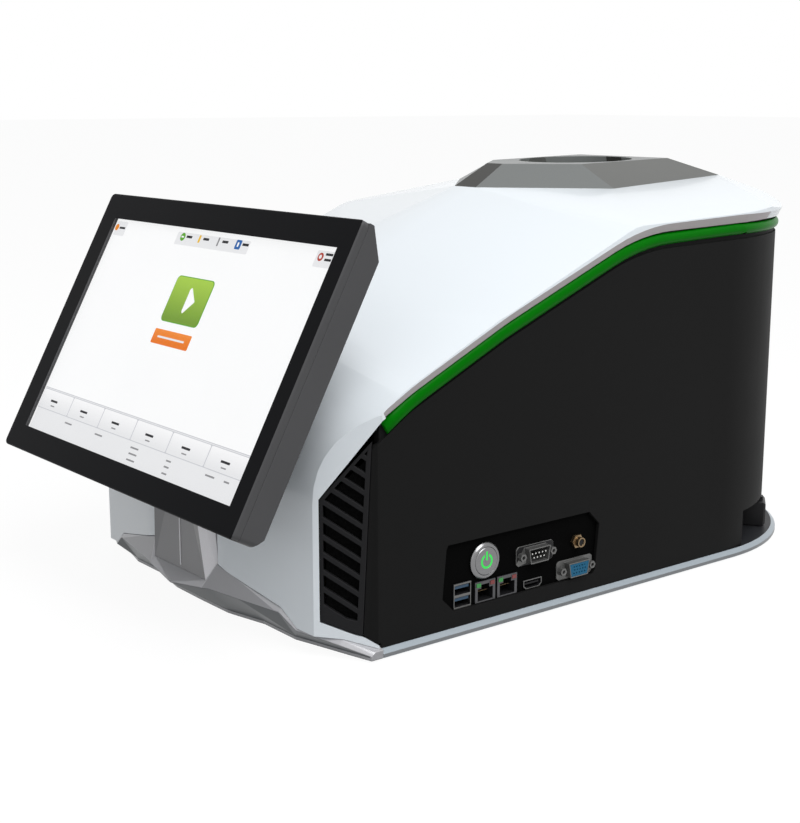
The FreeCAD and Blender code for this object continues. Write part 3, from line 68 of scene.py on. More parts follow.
Colour = tuple[float, float, float]
Point = tuple[float, float, float]
FaceTest = Callable[[bpy.types.MeshPolygon], bool]
Place = tuple[float, float]
Rect = tuple[float, float, float, float]
# Share of its normal along an axis that a face needs to count as looking along it.
STRAIGHT = 0.9
# Share of a lit colour's body that still takes the light of the room.
LIT_BODY = 0.15
NOISE_ROUGHNESS = 0.55
COAT_ROUGHNESS = 0.06
SMUDGE_CELLS = 9.0
SMUDGE_LOW = 0.86
SMUDGE_SPAN = 0.28
BUMP_SHARE = 0.4
GLOSS_CELLS = 140.0
TRACK_CELLS = 160.0
BRUSHED_STRETCH = 0.03
NIGHT = (0.0, 0.0, 0.0, 1.0)
WHITE = (1.0, 1.0, 1.0, 1.0)


class Grain(Enum):
    """Kinds of surface that a finish can have."""

    GLOSS = "gloss"
    MOULDED = "moulded"
    BRUSHED = "brushed"
    SATIN = "satin"
    FOAM = "foam"
    BOARD = "board"
    PLAIN = "plain"


class Axis(Enum):
    """Directions that a brushed finish can run along."""

    X = 0
    Y = 1
    Z = 2


class Signal:
    """A value that varies over a surface: one socket, with arithmetic that adds Math nodes."""

    def __init__(self, shader: "Shader", socket: bpy.types.NodeSocket) -> None:
        """Keep the socket and the shader that owns it."""
        self.shader = shader
        self.socket = socket

    def _math(self, operation: str, first: "Value", second: "Value") -> "Signal":
        """Add one Math node.

        Args:
            operation: The node's operation.
            first: Left operand.
            second: Right operand.

        Returns:
            The node's result.
        """
        return self.shader.node("ShaderNodeMath", {"operation": operation}, {0: first, 1: second})

    def __add__(self, other: "Value") -> "Signal":
        """Sum."""
        return self._math("ADD", self, other)

    def __radd__(self, other: "Value") -> "Signal":
        """Reflected sum."""
        return self._math("ADD", other, self)

    def __sub__(self, other: "Value") -> "Signal":
        """Difference."""
        return self._math("SUBTRACT", self, other)

    def __mul__(self, other: "Value") -> "Signal":
        """Product."""
        return self._math("MULTIPLY", self, other)

    def __rmul__(self, other: "Value") -> "Signal":
        """Reflected product."""
        return self._math("MULTIPLY", other, self)

    def __or__(self, other: "Value") -> "Signal":
        """The larger of the two."""
        return self._math("MAXIMUM", self, other)


Value = Union[Signal, float, tuple]


class Shader:
    """A new material or world and the nodes in it."""

    def __init__(self, name: str, around: bool = False) -> None:
        """Make an empty material or world.

        Args:
            name: Its name.
            around: Whether it is a world.
        """
        self.around = around
        self.material = (bpy.data.worlds if around else bpy.data.materials).new(name)
        self.material.use_nodes = True
        self.tree = self.material.node_tree
        self.tree.nodes.clear()

    def node(self, kind: str, settings: dict, sockets: dict, output: Union[int, str] = 0) -> Signal:
        """Add a node, set it up, then give its sockets their values or links.

        Args:
            kind: The node's type.
            settings: Properties of the node.
            sockets: Values or signals for its inputs, by name or number.
            output: The output that is wanted.

        Returns:
            That output.
        """
        made = self.tree.nodes.new(kind)
        for key, setting in settings.items():
            setattr(made, key, setting)
        for key, value in sockets.items():
            if isinstance(value, Signal):
                self.tree.links.new(value.socket, made.inputs[key])
            else:
                made.inputs[key].default_value = value
        return Signal(self, made.outputs[output])

    def place(self, stretch: Point = (1.0, 1.0, 1.0)) -> Signal:
        """Object coordinates.

        Args:
            stretch: Scale along each axis.

        Returns:
            The coordinates as a vector.
        """
        raw = self.node("ShaderNodeTexCoord", {}, {}, "Object")
        return self.node("ShaderNodeMapping", {}, {"Vector": raw, "Scale": stretch})

    def noise(self, scale: float, detail: float = 2.0, stretch: Point = (1.0, 1.0, 1.0)) -> Signal:
        """Noise in object space.

        Args:
            scale: Cells to the metre.
            detail: Octaves.
            stretch: Scale along each axis.

        Returns:
            A number about 0.5.
        """
        inputs = {"Vector": self.place(stretch), "Scale": scale, "Detail": detail,
                  "Roughness": NOISE_ROUGHNESS}
        return self.node("ShaderNodeTexNoise", {}, inputs)

    def mix(self, factor: Value, low: Value, high: Value) -> Signal:
        """Blend two colours.

        Args:
            factor: 0 for the first, 1 for the second.
            low: First colour.
            high: Second colour.

        Returns:
            The blended colour.
        """
        settings = {"data_type": "RGBA", "blend_type": "MIX"}
        return self.node("ShaderNodeMix", settings, {0: factor, 6: low, 7: high}, 2)

    def bump(self, height: Signal, strength: float, distance: float) -> Signal:
        """Relief from a height.

        Args:
            height: The height.
            strength: How strongly it shows.
            distance: Its depth in metres.

        Returns:
            The bent normal.
        """
        inputs = {"Strength": strength, "Distance": distance, "Height": height}
        return self.node("ShaderNodeBump", {}, inputs, "Normal")

    def close(self, sockets: dict) -> bpy.types.Material:
        """End the material in one Principled shader.

        Args:
            sockets: Values or signals of that shader.

        Returns:
            The material.
        """
        surface = self.node("ShaderNodeBsdfPrincipled", {}, sockets, "BSDF")
        self.node_output(surface)
        return self.material

    def seen(self) -> Signal:
        """One where the ray comes from the camera, a mirror or a clear piece."""
        kinds = ("Camera", "Glossy", "Transmission")
        rays = [self.node("ShaderNodeLightPath", {}, {}, f"Is {kind} Ray") for kind in kinds]
        return rays[0] | rays[1] | rays[2]

    def node_output(self, surface: Signal) -> None:
        """Join a surface to the output."""
        out = self.tree.nodes.new("ShaderNodeOutputWorld" if self.around else "ShaderNodeOutputMaterial")
        self.tree.links.new(surface.socket, out.inputs["Surface"])


@dataclass(frozen=True)
class Softness:
    """How the edges of a dressed copy are softened and shaded, angles in degrees."""

    width: float = 0.0
    sharper: float = 28.0
    smooth: float = 35.0
    steps: int = 2


@dataclass(frozen=True)
class Finish:
    """One finish of the object: its colour, sheen and texture."""

    name: str
    colour: Colour
    roughness: float = 0.5
    grain: Grain = Grain.MOULDED
    metallic: float = 0.0
    coat: float = 0.0
    specular: float = 0.5
    size: float = 0.0006
    relief: float = 0.12
    mottle: float = 0.08
    along: Axis = Axis.X
    alpha: float = 1.0
    glow: float = 0.0
    second: Optional[Colour] = None

    def material(self) -> bpy.types.Material:
        """The finish as a material, made on first use.

        Returns:
            The material.
        """
        known = f"{self.name}_finish"
        ready = bpy.data.materials.get(known)
        if ready is not None:
            return ready
        shader = Shader(known)
        height, tone = self._texture(shader)
        dark = tuple(c * (1.0 - self.mottle) for c in self.colour)
        light = self.second or tuple(min(1.0, c * (1.0 + self.mottle)) for c in self.colour)
        colour = shader.mix(tone, (*dark, 1.0), (*light, 1.0))
        smudge = shader.noise(SMUDGE_CELLS, 3.0)
        rough = self.roughness * (SMUDGE_LOW + SMUDGE_SPAN * smudge)
        sockets = {"Base Color": colour, "Roughness": rough, "Metallic": self.metallic,
                   "Coat Weight": self.coat, "Coat Roughness": COAT_ROUGHNESS, "Alpha": self.alpha,
                   "Specular IOR Level": self.specular}
        if height is not None:
            sockets["Normal"] = shader.bump(height, self.relief, self.size * BUMP_SHARE)
        if self.glow > 0.0:
            sockets["Base Color"] = shader.mix(LIT_BODY, NIGHT, colour)
            sockets["Emission Color"] = colour
            sockets["Emission Strength"] = self.glow
        return shader.close(sockets)

    def _texture(self, shader: Shader) -> tuple[Optional[Signal], Signal]:
        """Height and tone of the surface.

        Args:
            shader: The shader that gets the nodes.

        Returns:
            The height for relief, or None, and the tone that mixes the two colours.
        """
        cells = 1.0 / self.size
        if self.grain is Grain.GLOSS:
            return shader.noise(GLOSS_CELLS, 1.0), shader.noise(5.0, 2.0)
        if self.grain is Grain.BRUSHED:
            stretch = [1.0, 1.0, 1.0]
            stretch[self.along.value] = BRUSHED_STRETCH
            lines = shader.noise(cells, 3.0, tuple(stretch))
            return lines, lines
        if self.grain is Grain.SATIN:
            fine = shader.noise(cells, 2.0)
            return fine, 0.6 * shader.noise(14.0, 3.0) + 0.4 * shader.noise(cells * 0.5, 1.0)
        if self.grain is Grain.FOAM:
            inputs = {"Vector": shader.place(), "Scale": cells}
            pores = shader.node("ShaderNodeTexVoronoi", {"feature": "F1"}, inputs, "Distance")
            return pores, pores
        if self.grain is Grain.BOARD:
            inputs = {"Vector": shader.place(), "Scale": TRACK_CELLS, "Mortar Size": 0.02,
                      "Color1": NIGHT, "Color2": (0.25, 0.25, 0.25, 1.0), "Mortar": WHITE}
            tracks = shader.node("ShaderNodeTexBrick", {"offset": 0.5}, inputs, "Fac")
            return tracks, tracks
        if self.grain is Grain.PLAIN:
            return None, shader.noise(20.0, 1.0)
        return shader.noise(cells, 2.0), shader.noise(18.0, 3.0)


def satin(name: str, colour: Colour, roughness: float = 0.33, metallic: float = 0.2,
          specular: float = 0.5) -> Finish:
    """A finely grained satin paint of the base, the chin or the column."""
    return Finish(name, colour, roughness, Grain.SATIN, metallic=metallic, specular=specular,
                  size=0.0004, relief=0.05)


def port(name: str, colour: Colour, roughness: float = 0.38, metallic: float = 0.3,
         specular: float = 0.3) -> Finish:
    """A brushed metal of the sample port's bezel."""
    return Finish(name, colour, roughness, Grain.BRUSHED, metallic=metallic, specular=specular,
                  size=0.0004, relief=0.10)


def shown(name: str, colour: Colour, glow: float = 0.97) -> Finish:
    """A colour of the lit picture."""
    return Finish(name, colour, 0.5, Grain.PLAIN, glow=glow, mottle=0.01, specular=0.1)


WHITE_SHELL = Finish("white_shell", (0.82, 0.87, 0.91), 0.2, Grain.GLOSS, coat=0.25, specular=0.3,
                     relief=0.02, mottle=0.015)
# Painted shade: the hood's white made greyer on the undercut of its lip, where light does not reach.
LIP_SHADE = Finish("lip_shade", (0.50, 0.46, 0.47), 0.35, Grain.GLOSS, specular=0.2, relief=0.02,
                   mottle=0.03)
BLACK_COVER = Finish("black_cover", (0.0080, 0.0080, 0.0080), 0.6, size=0.0005, relief=0.2,
                     specular=0.07)
GREY_GRILLE = Finish("grey_grille", (0.013, 0.013, 0.014), 0.5, size=0.0005, relief=0.15, specular=0.12)
GREEN_BEAD = Finish("green_bead", (0.0, 0.155, 0.001), 0.32, Grain.GLOSS, specular=0.05, relief=0.02,
                    mottle=0.1)
SILVER_BASE = satin("silver_base", (0.355, 0.405, 0.445), 0.34)
# Painted shade: the base's upright sides darker than its top.
BASE_SIDE_PAINTED_SHADE = satin("base_side_painted_shade", (0.19, 0.20, 0.21), 0.36)
SILVER_CHIN = satin("silver_chin", (0.33, 0.33, 0.345))
# Painted shade and painted light on the chin: its downward facets darker, its top faces lighter.
CHIN_SHADE = satin("chin_shade", (0.115, 0.125, 0.132), 0.4, 0.1, specular=0.12)
CHIN_TOP_PAINTED_LIGHT = satin("chin_top_painted_light", (0.50, 0.50, 0.52))
TRAY_DARK = Finish("tray_dark", (0.02, 0.021, 0.024), 0.45, specular=0.15)
# Painted shade and painted light on the one silver of the column: its front darker, its flanks lighter.
COLUMN_FRONT_PAINTED_SHADE = satin("column_front_painted_shade", (0.185, 0.185, 0.192))
COLUMN_FLANK_PAINTED_LIGHT = satin("column_flank_painted_light", (0.88, 0.87, 0.90), metallic=0.1)
PORT_METAL = port("port_metal", (0.185, 0.195, 0.192))
# Painted shade on the bezel's facets: the side facets darker, the front facet darker still.
PORT_SIDE_PAINTED_SHADE = port("port_side_painted_shade", (0.112, 0.115, 0.109))
PORT_SHADE = port("port_shade", (0.036, 0.036, 0.033), 0.42, 0.2, 0.2)
DISH_PAINT = Finish("dish_paint", (0.24, 0.25, 0.24), 0.45, Grain.SATIN, metallic=0.3)
COLLAR_METAL = Finish("collar_metal", (0.55, 0.55, 0.54), 0.3, Grain.BRUSHED, metallic=1.0)
CLEAR_TUBE = Finish("clear_tube", (0.80, 0.86, 0.88), 0.05, Grain.PLAIN, alpha=0.35)
YOKE_STEEL = Finish("yoke_steel", (0.35, 0.35, 0.36), 0.4, Grain.BRUSHED, metallic=1.0)
MAGNET_PLATE = Finish("magnet_nickel", (0.60, 0.57, 0.52), 0.2, Grain.SATIN, metallic=1.0)
PROBE_RESIN = Finish("probe_resin", (0.70, 0.67, 0.60), 0.5)
COPPER = Finish("coil_copper", (0.72, 0.30, 0.14), 0.28, Grain.SATIN, metallic=1.0)
GREEN_BOARD = Finish("green_board", (0.010, 0.105, 0.035), 0.35, Grain.BOARD, relief=0.05,
                     second=(0.02, 0.22, 0.07))
CHIP_BLACK = Finish("chip_black", (0.02, 0.02, 0.022), 0.5)
BRASS = Finish("plain_brass", (0.62, 0.44, 0.16), 0.3, Grain.SATIN, metallic=1.0)
CASE_STEEL = Finish("case_steel", (0.52, 0.53, 0.54), 0.35, Grain.BRUSHED, metallic=1.0)
PLATE_BLACK = Finish("plate_black", (0.0026, 0.0026, 0.0026), 0.6, relief=0.08, specular=0.01)
BUTTON_STEEL = Finish("button_steel", (0.22, 0.22, 0.225), 0.25, Grain.BRUSHED, metallic=1.0,
                      along=Axis.Y)
LIT_GREEN = Finish("lit_green", (0.02, 0.62, 0.07), 0.3, Grain.PLAIN, glow=1.0)
SOCKET_STEEL = Finish("socket_steel", (0.15, 0.15, 0.147), 0.46, Grain.SATIN, metallic=0.7)
GILT = Finish("contact_gilt", (0.27, 0.195, 0.115), 0.36, Grain.SATIN, metallic=1.0)
INSERT_BLUE = Finish("insert_blue", (0.010, 0.115, 0.22), 0.4, specular=0.2)
LAMP_GREEN = Finish("lamp_green", (0.03, 0.26, 0.05), 0.3, Grain.PLAIN)
LAMP_RED = Finish("lamp_red", (0.20, 0.03, 0.03), 0.3, Grain.PLAIN)
JACK_GREY = Finish("jack_grey", (0.085, 0.085, 0.09), 0.4, Grain.SATIN, metallic=0.5)
USB_BLUE = Finish("usb_blue", (0.012, 0.055, 0.11), 0.4)
TONGUE_WHITE = Finish("tongue_white", (0.50, 0.52, 0.55), 0.4)
PIN_SILVER = Finish("pin_silver", (0.62, 0.62, 0.60), 0.25, Grain.SATIN, metallic=1.0)
SOCKET_BLACK = Finish("socket_black", (0.010, 0.010, 0.011), 0.45, specular=0.2)
FAN_BLACK = Finish("fan_black", (0.02, 0.02, 0.02), 0.45)
BEZEL_BLACK = Finish("bezel_black", (0.0045, 0.0047, 0.0058), 0.4, size=0.0004, relief=0.06,
                     specular=0.03)
SCREEN_SIDE = Finish("screen_side", (0.070, 0.070, 0.073), 0.42, size=0.0005, relief=0.14, specular=0.2)
SCREEN_GLASS = Finish("cover_glass", (0.06, 0.06, 0.06), 0.05, Grain.PLAIN, alpha=0.04, specular=0.3)
BRACKET_STEEL = Finish("bracket_steel", (0.16, 0.16, 0.17), 0.4, Grain.SATIN, metallic=0.7)
PIN_STEEL = Finish("pin_steel", (0.50, 0.50, 0.50), 0.3, Grain.BRUSHED, metallic=1.0)
RUBBER = Finish("foot_rubber", (0.015, 0.015, 0.015), 0.8, size=0.0009, relief=0.3)
FOAM = Finish("filter_foam", (0.002, 0.002, 0.002), 0.95, Grain.FOAM, size=0.0016, relief=0.7,
              second=(0.006, 0.006, 0.006), specular=0.05)
SCREW_STEEL = Finish("screw_steel", (0.50, 0.50, 0.50), 0.25, Grain.SATIN, metallic=1.0)

PICTURE_WHITE = shown("picture_white", (0.96, 0.965, 0.97))
PICTURE_TILE = shown("picture_tile", (0.80, 0.805, 0.82))
PICTURE_EDGE = shown("picture_edge", (0.58, 0.59, 0.62))
PICTURE_INK = shown("picture_ink", (0.03, 0.03, 0.035), 0.5)
PICTURE_GREY = shown("picture_grey", (0.26, 0.26, 0.27))
PICTURE_AMBER = shown("picture_amber", (0.80, 0.26, 0.03))
PICTURE_BLUE = shown("picture_blue", (0.02, 0.12, 0.38))
PICTURE_RED = shown("picture_red", (0.42, 0.05, 0.03))
PICTURE_YELLOW = shown("picture_yellow", (0.80, 0.50, 0.05))
PICTURE_LEAF = shown("picture_leaf", (0.10, 0.36, 0.02))


@dataclass(frozen=True)
class GradedFinish(Finish):
    """A lit finish whose colour runs from low to high between two heights."""

    low: Colour = (0.0, 0.0, 0.0)
    bottom: float = 0.0
    top: float = 1.0

    def material(self) -> bpy.types.Material:
        """The graded finish as a material.

        Returns:
            The material.
        """
        shader = Shader(f"{self.name}_finish")
        height = shader.node("ShaderNodeSeparateXYZ", {}, {0: shader.place()}, "Z")
        span = 1.0 / (self.top - self.bottom)
        colour = shader.mix((height - self.bottom) * span, (*self.low, 1.0), (*self.colour, 1.0))
        return shader.close({"Base Color": shader.mix(LIT_BODY, NIGHT, colour),
                             "Roughness": self.roughness, "Specular IOR Level": 0.1,
                             "Emission Color": colour, "Emission Strength": self.glow})


class Bench:
    """Modelling operations that every sub-assembly uses."""

    weld: float = 0.004 * MM
    flat: float = math.radians(0.4)
    frame: dict = {}
    slots: dict[str, str] = {}

    @classmethod
    def open(cls) -> None:
        """Load the CAD frame and note the slot of each node."""
        cls.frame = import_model()
        for part in cls.frame["record"]["subparts"]:
            cls.slots[part["node"]] = part["material_slot"]

    @staticmethod
    def clear() -> None:
        """Leave edit mode and deselect everything."""
        if bpy.context.mode != "OBJECT":
            bpy.ops.object.mode_set(mode="OBJECT")
        bpy.ops.object.select_all(action="DESELECT")

    @staticmethod
    def pick(piece: bpy.types.Object) -> None:
        """Make one piece the only selected and active one."""
        Bench.clear()
        piece.select_set(True)
        bpy.context.view_layer.objects.active = piece

    @staticmethod
    def finished(piece: bpy.types.Object, finish: Finish, body: str, node: str,
                 smooth: float = 35.0) -> bpy.types.Object:
        """Settle a piece at the origin, shade, dress and attach it.

        Args:
            piece: The piece.
            finish: Its finish.
            body: The body that it rides on.
            node: A CAD node; not used.
            smooth: Angle in degrees under which edges are shaded smooth.

        Returns:
            The piece.
        """
        Bench.pick(piece)
        bpy.ops.object.transform_apply(location=True, rotation=True, scale=True)
        bpy.ops.object.shade_smooth_by_angle(angle=math.radians(smooth))
        level = piece.modifiers.new("level_faces", "WEIGHTED_NORMAL")
        level.keep_sharp = True
        bpy.ops.object.modifier_apply(modifier=level.name)
        piece.data.materials.clear()
        piece.data.materials.append(finish.material())
        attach(piece, body)
        LOG.info("piece %s on %s", piece.name, body)
        return piece

    @staticmethod
    def copied(node: str, name: str, edge: Softness) -> bpy.types.Object:
        """A merged copy of a CAD node with softened edges.

        Args:
            node: The CAD node.
            name: Name of the copy.
            edge: How its edges are softened.

        Returns:
            The copy, at the origin.
        """
        source = Bench.frame["nodes"][node]
        piece = bpy.data.objects.new(name, source.data.copy())
        bpy.context.scene.collection.objects.link(piece)
        Bench.pick(piece)
        bpy.ops.object.mode_set(mode="EDIT")
        bpy.ops.mesh.select_all(action="SELECT")
        bpy.ops.mesh.remove_doubles(threshold=Bench.weld)
        bpy.ops.mesh.dissolve_limited(angle_limit=Bench.flat)
        bpy.ops.object.mode_set(mode="OBJECT")
        if edge.width > 0.0:
            Bench.bevelled(piece, edge)
        return piece

    @staticmethod
    def bevelled(piece: bpy.types.Object, edge: Softness) -> None:
        """Soften the sharp edges of a piece with an applied Bevel modifier.

        Args:
            piece: The piece.
            edge: Width, segments and smallest angle.
        """
        Bench.pick(piece)
        soft = piece.modifiers.new("soft_edge", "BEVEL")
        soft.width = edge.width
        soft.segments = edge.steps
        soft.limit_method = "ANGLE"
        soft.angle_limit = math.radians(edge.sharper)
        bpy.ops.object.modifier_apply(modifier=soft.name)

    @staticmethod
    def part_finish(name: str, finish: Finish, chosen: FaceTest) -> None:
        """Give some faces of a finished piece another finish.

        Args:
            name: Name of the piece.
            finish: The other finish.
            chosen: Says of a face whether it gets that finish.
        """
        mesh = bpy.data.objects[name].data
        mesh.materials.append(finish.material())
        for face in mesh.polygons:
            if chosen(face):
                face.material_index = len(mesh.materials) - 1

    @staticmethod
    def block(name: str, low: Point, high: Point) -> bpy.types.Object:
        """A box between two corners, as the start of a piece.

        Args:
            name: Name of the piece.
            low: Lowest corner.
            high: Highest corner.

        Returns:
            The piece, with its size applied.
        """
        Bench.clear()
        middle = [(a + b) / 2 for a, b in zip(low, high)]
        size = [b - a for a, b in zip(low, high)]
        bpy.ops.mesh.primitive_cube_add(size=1.0, location=middle, scale=size)
        piece = bpy.context.active_object
        piece.name = name
        bpy.ops.object.transform_apply(location=True, rotation=True, scale=True)
        return piece

    @staticmethod
    def disc(name: str, centre: Point, radius: float, depth: float, sides: int) -> bpy.types.Object:
        """A round blank that faces the front, as the start of a piece.

        Args:
            name: Name of the piece.
            centre: Its middle.
            radius: Radius.
            depth: Length from front to back.
            sides: Number of sides.

        Returns:
            The piece, with its place applied.
        """
        Bench.clear()
        bpy.ops.mesh.primitive_cylinder_add(vertices=sides, radius=radius, depth=depth, location=centre,
                                            rotation=(math.pi / 2, 0.0, 0.0))
        piece = bpy.context.active_object
        piece.name = name
        bpy.ops.object.transform_apply(location=True, rotation=True, scale=True)
        return piece

    @staticmethod
    def joined(name: str, pieces: list[bpy.types.Object]) -> bpy.types.Object:
        """Several blanks as one piece.

        Args:
            name: Name of the result.
            pieces: The blanks.

        Returns:
            The joined piece.
        """
        Bench.clear()
        for piece in pieces:
            piece.select_set(True)
        bpy.context.view_layer.objects.active = pieces[0]
        if len(pieces) > 1:
            bpy.ops.object.join()
        result = bpy.context.active_object
        result.name = name
        return result


@dataclass
class Assembly:
    """A sub-assembly: the finishes of its CAD nodes and the copies that replace some of them."""

    body: str = "base"
    kept: dict[str, Finish] = field(default_factory=dict)
    softened: dict[str, tuple[Finish, Softness]] = field(default_factory=dict)

    def dress(self) -> None:
        """Give kept nodes their finish and put softened copies in place of the others."""
        for node, finish in self.kept.items():
            part = Bench.frame["nodes"][node]
            if not part.material_slots:
                part.data.materials.append(finish.material())
            for slot in part.material_slots:
                slot.material = finish.material()
            LOG.info("node %s kept", node)
        for node, (finish, edge) in self.softened.items():
            piece = Bench.copied(node, node + "_dressed", edge)
            Bench.finished(piece, finish, self.body, node, edge.smooth)
            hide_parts(node)

    def build(self) -> None:
        """Make the sub-assembly's own pieces; the plain one has none."""


@dataclass
class Housing(Assembly):
    """Hood, dark cover, bead, grilles, base and chin."""

    lip_low: float = 100.0 * MM
    lip_side: float = 143.0 * MM
    lip_rear: float = 240.0 * MM
    ledge_low: float = 6.5 * MM
    lip_slope: float = -0.25
    chin_under: float = -0.2
    chin_over: float = 0.4
    upright: float = 0.3

    def __post_init__(self) -> None:
        """Set the finishes."""
        self.softened = {
            "hood_shell": (WHITE_SHELL, Softness(1.2 * MM, 12.5, 30.0, 3)),
            "wrap_cover": (BLACK_COVER, Softness(0.5 * MM)),
            "accent_strip": (GREEN_BEAD, Softness(smooth=50.0)),
            "base_tray": (SILVER_BASE, Softness(0.5 * MM)),
            "front_chin": (SILVER_CHIN, Softness(0.5 * MM, 9.0, 14.0)),
            "vent_grille_right": (GREY_GRILLE, Softness(0.35 * MM)),
            "vent_grille_left": (GREY_GRILLE, Softness(0.35 * MM)),
            "feet": (RUBBER, Softness(0.3 * MM)),
        }
        self.kept = {"vent_filter_right": FOAM, "vent_filter_left": FOAM, "tray_screws": SCREW_STEEL}

    def build(self) -> None:
        """Paint shade on the undercut of the lip, the chin's lower facets and the side of the base,
        paint light on the chin's top faces, and darken the tray's low upward faces.
        """
        # Painted shade on the lip's downward faces at the sides and rear.
        Bench.part_finish("hood_shell_dressed", LIP_SHADE,
                          lambda face: face.normal.z < self.lip_slope and face.center.z > self.lip_low
                          and (abs(face.center.x) > self.lip_side or face.center.y > self.lip_rear))
        # Painted shade on the chin's downward facets and painted light on its top faces.
        Bench.part_finish("front_chin_dressed", CHIN_SHADE, lambda face: face.normal.z < self.chin_under)
        Bench.part_finish("front_chin_dressed", CHIN_TOP_PAINTED_LIGHT, lambda face: face.normal.z > self.chin_over)
        # Painted shade on the upright sides of the base.
        Bench.part_finish("base_tray_dressed", BASE_SIDE_PAINTED_SHADE, lambda face: abs(face.normal.z) < self.upright)
        Bench.part_finish("base_tray_dressed", TRAY_DARK,
                          lambda face: face.normal.z > STRAIGHT and face.center.z < self.ledge_low)


@dataclass
class SamplePort(Assembly):
    """Faceted metal bezel, dish and collar on top, with the liner under them."""

    front_across: float = 0.2
    front_ahead: float = -0.3
    side_across: float = 0.4
    side_ahead: float = 0.2

    def __post_init__(self) -> None:
        """Set the finishes."""
        self.softened = {
            "top_bezel": (PORT_METAL, Softness(1.8 * MM, 8.0, 30.0, 3)),
            "sample_dish": (DISH_PAINT, Softness(0.3 * MM)),
            "sample_collar": (COLLAR_METAL, Softness(0.2 * MM)),
        }
        self.kept = {"bore_liner": CLEAR_TUBE}

    def build(self) -> None:
        """Paint shade on the bezel's front facet and, less, on its two side facets."""
        Bench.part_finish("top_bezel_dressed", PORT_SHADE,
                          lambda face: abs(face.normal.x) < self.front_across
                          and face.normal.y < self.front_ahead)
        Bench.part_finish("top_bezel_dressed", PORT_SIDE_PAINTED_SHADE,
                          lambda face: abs(face.normal.x) > self.side_across
                          and abs(face.normal.y) < self.side_ahead)


@dataclass
class Interior(Assembly):
    """Magnet, probe, boards, power module and fan: what the housing hides."""

    def __post_init__(self) -> None:
        """Set the finishes."""
        self.kept = {
            "magnet_yoke": YOKE_STEEL, "magnet_blocks": MAGNET_PLATE, "magnet_plate_lower": YOKE_STEEL,
            "magnet_plate_upper": YOKE_STEEL, "magnet_mounts": RUBBER, "probe_body": PROBE_RESIN,
            "receiver_coil": COPPER, "main_board": GREEN_BOARD, "board_parts": CHIP_BLACK,
            "board_standoffs": BRASS, "power_module": CASE_STEEL, "port_board": GREEN_BOARD,
            "fan_frame": FAN_BLACK,
        }


